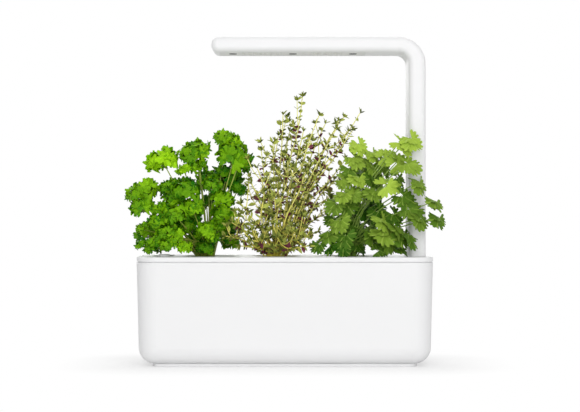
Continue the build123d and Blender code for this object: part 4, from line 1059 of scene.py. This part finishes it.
# %% Parsley rows
# The last number of each row is a tone that is partly painted shade: heads low in the bunch and inside
# it are darker.
PARSLEY_ROWS = (
    (-49, -8, 101, 18, 0.95), (-15, -14, 109, 16, 0.4), (-11, -14, 94, 10, 0.4),
    (-26, -18, 90, 8, 0.75), (20, 2, 121, 15, 0.55), (28, -10, 104, 19, 0.32),
    (31, -14, 96, 7, 0.85), (-70, -14, 68, 17, 0.38), (-69, -18, 53, 13, 0.3),
    (-25, -26, 69, 17, 0.2), (-42, -20, 73, 9, 0.28), (19, 10, 84, 16, 0.06),
    (-3, 0, 80, 11, 0.25), (14, -14, 61, 13, 0.32), (16, -16, 45, 13, 0.36),
    (0, -40, 29, 11, 0.45), (-33, -36, 46, 15, 0.4), (-51, -30, 38, 12, 0.25),
    (-24, -14, 31, 12, 0.3), (-42, -38, 27, 11, 0.34), (-67, -26, 31, 7, 0.4),
    (-55, -36, 16, 9, 0.36), (-40, -42, 14, 9, 0.42), (-24, -44, 11, 8, 0.55),
    (-3, -22, 11, 10, 0.08), (5, -34, 21, 8, 0.25), (-12, -6, 16, 8, 0.12),
    (-69, -24, 13, 7, 0.2), (-59, -34, 9, 7, 0.12), (-16, -34, 52, 12, 0.35),
    (-36, -28, 58, 11, 0.3), (4, -18, 74, 10, 0.3), (-52, -26, 50, 9, 0.35),
    (-12, -8, 24, 10, 0.2), (-34, -42, 22, 10, 0.45), (10, -14, 32, 10, 0.3),
    (30, -6, 70, 10, 0.15), (-20, -10, 40, 13, 0.1), (-40, -10, 34, 13, 0.12),
    (-66, 16, 26, 13, 0.3), (-38, 24, 72, 15, 0.3), (0, 30, 80, 16, 0.2),
    (-34, 40, 30, 14, 0.3), (14, 40, 32, 14, 0.25), (-14, 42, 12, 11, 0.3),
    (20, 22, 16, 11, 0.25), (-50, 34, 12, 11, 0.3), (-4, 14, 57, 9, 0.15),
)
print("parsley heads:", len(PARSLEY_ROWS))

# %% Parsley
PARSLEY_SEED = 5
PARSLEY_STEM = 0.8 * MM
PARSLEY_LEAN = 0.45
PARSLEY_KNEE = {"knee_share": 0.4, "knee_rise": 0.52}
HEAD_SINK = 0.2
BRANCHES = 6
BRANCH_OUT = 0.7
BRANCH_UP = 0.2
BRANCH_TAPER = (0.7, 0.5, 0.4)
arrows = []
lines = []
chance = random.Random(PARSLEY_SEED)
for number, (dx, dy, dz, radius, tint) in enumerate(PARSLEY_ROWS):
    out = Vector((dx, dy, 0)).normalized()
    facing = (UP + out * PARSLEY_LEAN).normalized()
    middle = above_lid("left", dx, dy, dz)
    spin = Matrix.Rotation(chance.uniform(0, math.tau), 3, facing)
    along = spin @ facing.orthogonal().normalized()
    size = radius * HEAD_SPAN * MM
    fork = middle - facing * size * HEAD_FLAT
    place = middle - facing * size * HEAD_SINK
    arrows.append(arrow(place, facing, along, size, number % SHAPES, tint))
    lines.append(stalk_line(stalk_root("left", dx, dy), fork, PARSLEY_STEM, **PARSLEY_KNEE))
    for branch in range(BRANCHES):
        spoke = Matrix.Rotation(math.tau * branch / BRANCHES, 3, facing) @ along
        rim = middle + (spoke * BRANCH_OUT + facing * BRANCH_UP) * size
        half = (fork + rim) / 2 + spoke * MM
        lines.append(tapered((fork, half, rim), PARSLEY_STEM, BRANCH_TAPER))
plant("parsley", "left_plant", parsley_heads, parsley_leaf, arrows, parsley_stem, lines)

# %% [markdown]
# ## Cilantro
# A cilantro leaf is a spray of three broad fans on short stalks. Three sprays are joined from such
# fans first, so that one arrow sets a whole spray on its stalk, facing up and outwards.
# The rows are read as for parsley, and their last number is again a tone that is partly painted shade.

# %% Cilantro sprays
SPRAY_FANS = (
    {"turn": 0.0, "start": 0.3, "size": 0.72},
    {"turn": 1.15, "start": 0.08, "size": 0.62},
    {"turn": -1.15, "start": 0.08, "size": 0.62},
)
SPRAY_LEAN = 0.25


def spray(name, number):
    """Three fan leaflets that share one stalk, length one along +X."""
    joined = bmesh.new()
    for step, fan in enumerate(SPRAY_FANS):
        mesh = cilantro_leaflets[(number + step) % SHAPES].data.copy()
        shift = Matrix.Rotation(fan["turn"], 4, "Z") @ Matrix.Translation((fan["start"], 0, 0))
        lean = Matrix.Rotation(SPRAY_LEAN * step, 4, "X")
        mesh.transform(shift @ lean @ Matrix.Scale(fan["size"], 4))
        joined.from_mesh(mesh)
        bpy.data.meshes.remove(mesh)
    mesh = bpy.data.meshes.new(name)
    joined.to_mesh(mesh)
    joined.free()
    return bpy.data.objects.new(name, mesh)


cilantro_sprays = collect("cilantro_sprays", [spray(f"cilantro_spray_{n}", n) for n in range(SHAPES)])

# %% Cilantro rows
# The last number of each row is a tone that is partly painted shade: leaves low in the bunch and inside
# it are darker.
CILANTRO_ROWS = (
    (60, -44, 113, 12, 0.85), (68, -48, 117, 12, 0.8), (16, -26, 112, 10, 0.85),
    (30, -20, 104, 9, 0.7), (43, -26, 103, 10, 0.8), (55, -34, 97, 12, 0.78),
    (67, -50, 93, 12, 0.6), (13, -26, 99, 11, 0.62), (29, -22, 92, 9, 0.5),
    (8, -26, 87, 11, 0.3), (14, -34, 79, 10, 0.72), (0, -30, 77, 9, 0.55),
    (46, -42, 73, 13, 0.85), (30, -24, 78, 11, 0.25), (56, -30, 80, 10, 0.28),
    (76, -46, 73, 12, 0.45), (62, -44, 59, 12, 0.25), (-1, -38, 63, 10, 0.6),
    (12, -36, 64, 10, 0.45), (30, -40, 65, 10, 0.45), (-10, -36, 52, 10, 0.38),
    (4, -30, 52, 11, 0.28), (23, -10, 46, 12, 0.08), (36, -14, 53, 10, 0.12),
    (91, -53, 55, 11, 0.42), (69, -46, 48, 12, 0.32), (75, -50, 38, 12, 0.42),
    (94, -53, 38, 11, 0.28), (40, -46, 35, 12, 0.62), (40, -50, 24, 14, 0.55),
    (58, -46, 20, 12, 0.28), (-6, -44, 34, 11, 0.48), (-16, -40, 23, 11, 0.34),
    (-1, -46, 19, 11, 0.2), (9, -12, 30, 10, 0.2), (19, -6, 24, 12, 0.15),
    (-14, -44, 9, 8, 0.05), (-27, -40, 11, 8, 0.18), (-1, -48, 8, 8, 0.1),
    (17, -14, 10, 10, 0.15), (37, -42, 8, 9, 0.24), (58, -40, 8, 9, 0.22),
    (12, 0, 43, 12, 0.08), (28, 0, 60, 12, 0.12), (45, 2, 91, 11, 0.4),
    (2, -10, 33, 11, 0.1), (-12, -20, 38, 9, 0.2), (22, -20, 83, 10, 0.22),
    (38, 12, 100, 13, 0.7), (24, 18, 92, 13, 0.55), (40, 36, 78, 13, 0.4),
    (30, 38, 62, 13, 0.3), (14, 26, 54, 12, 0.3), (30, 44, 38, 14, 0.3),
    (26, 42, 22, 13, 0.25), (10, 32, 14, 11, 0.25), (44, 42, 12, 12, 0.2),
    (28, -40, 21, 11, 0.3), (45, -44, 15, 12, 0.35), (55, -46, 27, 13, 0.42),
    (67, -46, 19, 12, 0.25), (37, -30, 42, 12, 0.15), (52, -34, 40, 11, 0.2),
)
print("cilantro leaves:", len(CILANTRO_ROWS))

# %% Cilantro
CILANTRO_SEED = 8
CILANTRO_STEM = 0.7 * MM
CILANTRO_LEAN = 1.2
CILANTRO_KNEE = {"knee_share": 0.3, "knee_rise": 0.6}
CILANTRO_SPAN = 1.55
# The row's tone is raised to this power, which darkens low and middle tones further: more painted shade
# on lower and inner leaves.
CILANTRO_CONTRAST = 1.5
SPRAY_SWAY = ((-0.7, 0.7), (-0.9, 0.3), (-0.5, 0.3))
SPRAY_TWIST = 1.3
SPRAY_STALK = 0.4
SPRAY_TAPER = (0.8, 0.5)
arrows = []
lines = []
chance = random.Random(CILANTRO_SEED)
for number, (dx, dy, dz, radius, tint) in enumerate(CILANTRO_ROWS):
    out = Vector((dx, dy, 0)).normalized()
    sway = Vector([chance.uniform(*limits) for limits in SPRAY_SWAY])
    facing = (UP + out * CILANTRO_LEAN + sway).normalized()
    along = Matrix.Rotation(chance.uniform(-SPRAY_TWIST, SPRAY_TWIST), 3, facing) @ out
    along = (along - facing * along.dot(facing)).normalized()
    middle = above_lid("right", dx, dy, dz)
    end = middle - along * radius * SPRAY_STALK * MM
    size = CILANTRO_SPAN * radius * MM
    arrows.append(arrow(end, facing, along, size, number % SHAPES, tint**CILANTRO_CONTRAST))
    lines.append(stalk_line(stalk_root("right", dx, dy), end, CILANTRO_STEM, **CILANTRO_KNEE))
    lines.append(tapered((end, middle), CILANTRO_STEM, SPRAY_TAPER))
plant("cilantro", "right_plant", cilantro_sprays, cilantro_leaf, arrows, cilantro_stem, lines)

# %% [markdown]
# ## Thyme
# Thyme is a loose thicket of wiry stems with pairs of tiny leaves, some of them turned purple.
# The main stems end at listed tips, given in millimetres from the pod's axis and above the lid.
# Side shoots leave each stem at random, from a fixed seed, so the thicket is the same every time.
# Every tip ends in a small star of leaves.

# %% Thyme rows
THYME_ROWS = (
    (27, -6, 164), (87, 8, 148), (70, 10, 144), (44, -22, 144), (7, 6, 146), (-1, -14, 118),
    (-15, -24, 108), (51, 12, 137), (62, -4, 131), (79, 5, 130), (28, -18, 128), (14, 20, 129),
    (-19, -42, 90), (72, 24, 100), (65, 36, 80), (56, 40, 61), (-25, -46, 74), (-35, -48, 54),
    (-45, -44, 35), (-51, -44, 21), (51, 42, 43), (44, 44, 25), (34, -44, 11), (-9, 22, 83),
    (46, 28, 100), (25, 38, 83), (-15, 36, 49), (40, 44, 52), (9, 46, 43), (-36, -44, 11),
    (12, -40, 98), (30, -46, 86), (-2, -46, 62), (-24, -46, 17), (-14, -30, 14), (-4, -36, 10),
    (6, -38, 16), (16, -34, 9), (24, -30, 16), (0, -28, 22), (12, -26, 26),
)
print("thyme stems:", len(THYME_ROWS))

# %% Thyme stems
THYME_SEED = 21
THYME_STEM = 0.82 * MM
BOW = 6
BOW_BACK = 0.5
LOW_BEND = {"share": 0.35, "rise": 0.1}
HIGH_BEND = {"share": 0.7, "rise": 0.08}
SPRIG_TAPER = (1, 1, 0.8, 0.6)
SHOOTS = 4
SHOOT_SHARES = (0.2, 0.9)
SHOOT_SWITCH = 0.6
SHOOT_SHIFT = 0.5
SHOOT_LENGTHS = (12 * MM, 32 * MM)
SHOOT_SIDE = (-1, 1)
SHOOT_RISE = (0.2, 1.2)
SHOOT_CURL = 0.6
SHOOT_YAW = 0.5
SHOOT_MIDDLE = 18
SHOOT_TAPER = (0.7, 0.6, 0.5)


def bend(root, tip, share, rise):
    """A place on the way to the tip, raised by a share of the stem's length."""
    return root.lerp(tip, share) + UP * (tip - root).length * rise


lines = []
chance = random.Random(THYME_SEED)
for dx, dy, dz in THYME_ROWS:
    root = stalk_root("middle", dx, dy)
    tip = above_lid("middle", dx, dy, dz)
    bow = Vector((chance.uniform(-BOW, BOW), chance.uniform(-BOW, BOW), 0)) * MM
    yaw = math.copysign(SHOOT_YAW, dx - SHOOT_MIDDLE)
    low = bend(root, tip, **LOW_BEND) + bow
    high = bend(root, tip, **HIGH_BEND) - bow * BOW_BACK
    lines.append(tapered((root, low, high, tip), THYME_STEM, SPRIG_TAPER))
    for _ in range(SHOOTS):
        share = chance.uniform(*SHOOT_SHARES)
        start = low.lerp(high, share) if share < SHOOT_SWITCH else high.lerp(tip, share - SHOOT_SHIFT)
        across = chance.uniform(*SHOOT_SIDE)
        back = chance.uniform(*SHOOT_SIDE) + yaw
        aim = Vector((across, back, chance.uniform(*SHOOT_RISE))).normalized()
        reach = chance.uniform(*SHOOT_LENGTHS)
        half = start + aim * reach / 2
        end = half + (aim + UP * SHOOT_CURL).normalized() * reach / 2
        lines.append(tapered((start, half, end), THYME_STEM, SHOOT_TAPER))
thicket = stem_lines("lines", lines)
print("with side shoots:", len(lines))

# %% Thyme leaves
inner = stem_lines("lines", [line[:-1] for line in lines])
for name, finish, sprigs, pitch, seed in (
    ("thyme_leaves_green", thyme_leaf, thicket, 8.2 * MM, 3),
    ("thyme_leaves_purple", thyme_dark_leaf, inner, 15.0 * MM, 9),
):
    values = {
        "Shapes": thyme_leaves,
        "Pitch": pitch,
        "Bare stem": LID_TOP + 3 * MM,
        "Smallest": 4.0 * MM,
        "Largest": 7.5 * MM,
        "Lift": 0.7,
        "Twist": 1.1,
        "Seed": seed,
        "Finish": finish,
    }
    leaves = grow("leaves", sprigs.copy(), pairs_tree, values)
    piece(name, leaves, "middle_plant", "thyme", "thyme")
stems = grow("stems", thicket, stems_tree, {"Finish": thyme_stem})
piece("thyme_stems", stems, "middle_plant", "thyme")

# %% Thyme tips
TIP_LEAVES = 5
TIP_LIFT = 1.3
TIP_TWIST = 1.0
TIP_JITTER = 0.3
TIP_SIZES = (4.0, 8.0)
TIP_TINTS = (0, 0.9)
TIP_KIND = SHAPES - 1
arrows = []
for line in lines:
    before, end = line[-2][0], line[-1][0]
    rise = (end - before).normalized()
    side = rise.orthogonal().normalized()
    for leaf in range(TIP_LEAVES):
        turn = math.tau * leaf / TIP_LEAVES + chance.uniform(-TIP_JITTER, TIP_JITTER)
        along = (Matrix.Rotation(turn, 3, rise) @ side + rise * TIP_LIFT).normalized()
        facing = (rise - along * along.dot(rise)).normalized()
        facing = Matrix.Rotation(chance.uniform(-TIP_TWIST, TIP_TWIST), 3, along) @ facing
        size = chance.uniform(*TIP_SIZES) * MM
        arrows.append(arrow(end, facing, along, size, TIP_KIND, chance.uniform(*TIP_TINTS)))
values = {"Shapes": thyme_leaves, "Finish": thyme_leaf}
stars = grow("stars", arrow_points("tips", arrows), arrows_tree, values)
piece("thyme_tips", stars, "middle_plant", "thyme")
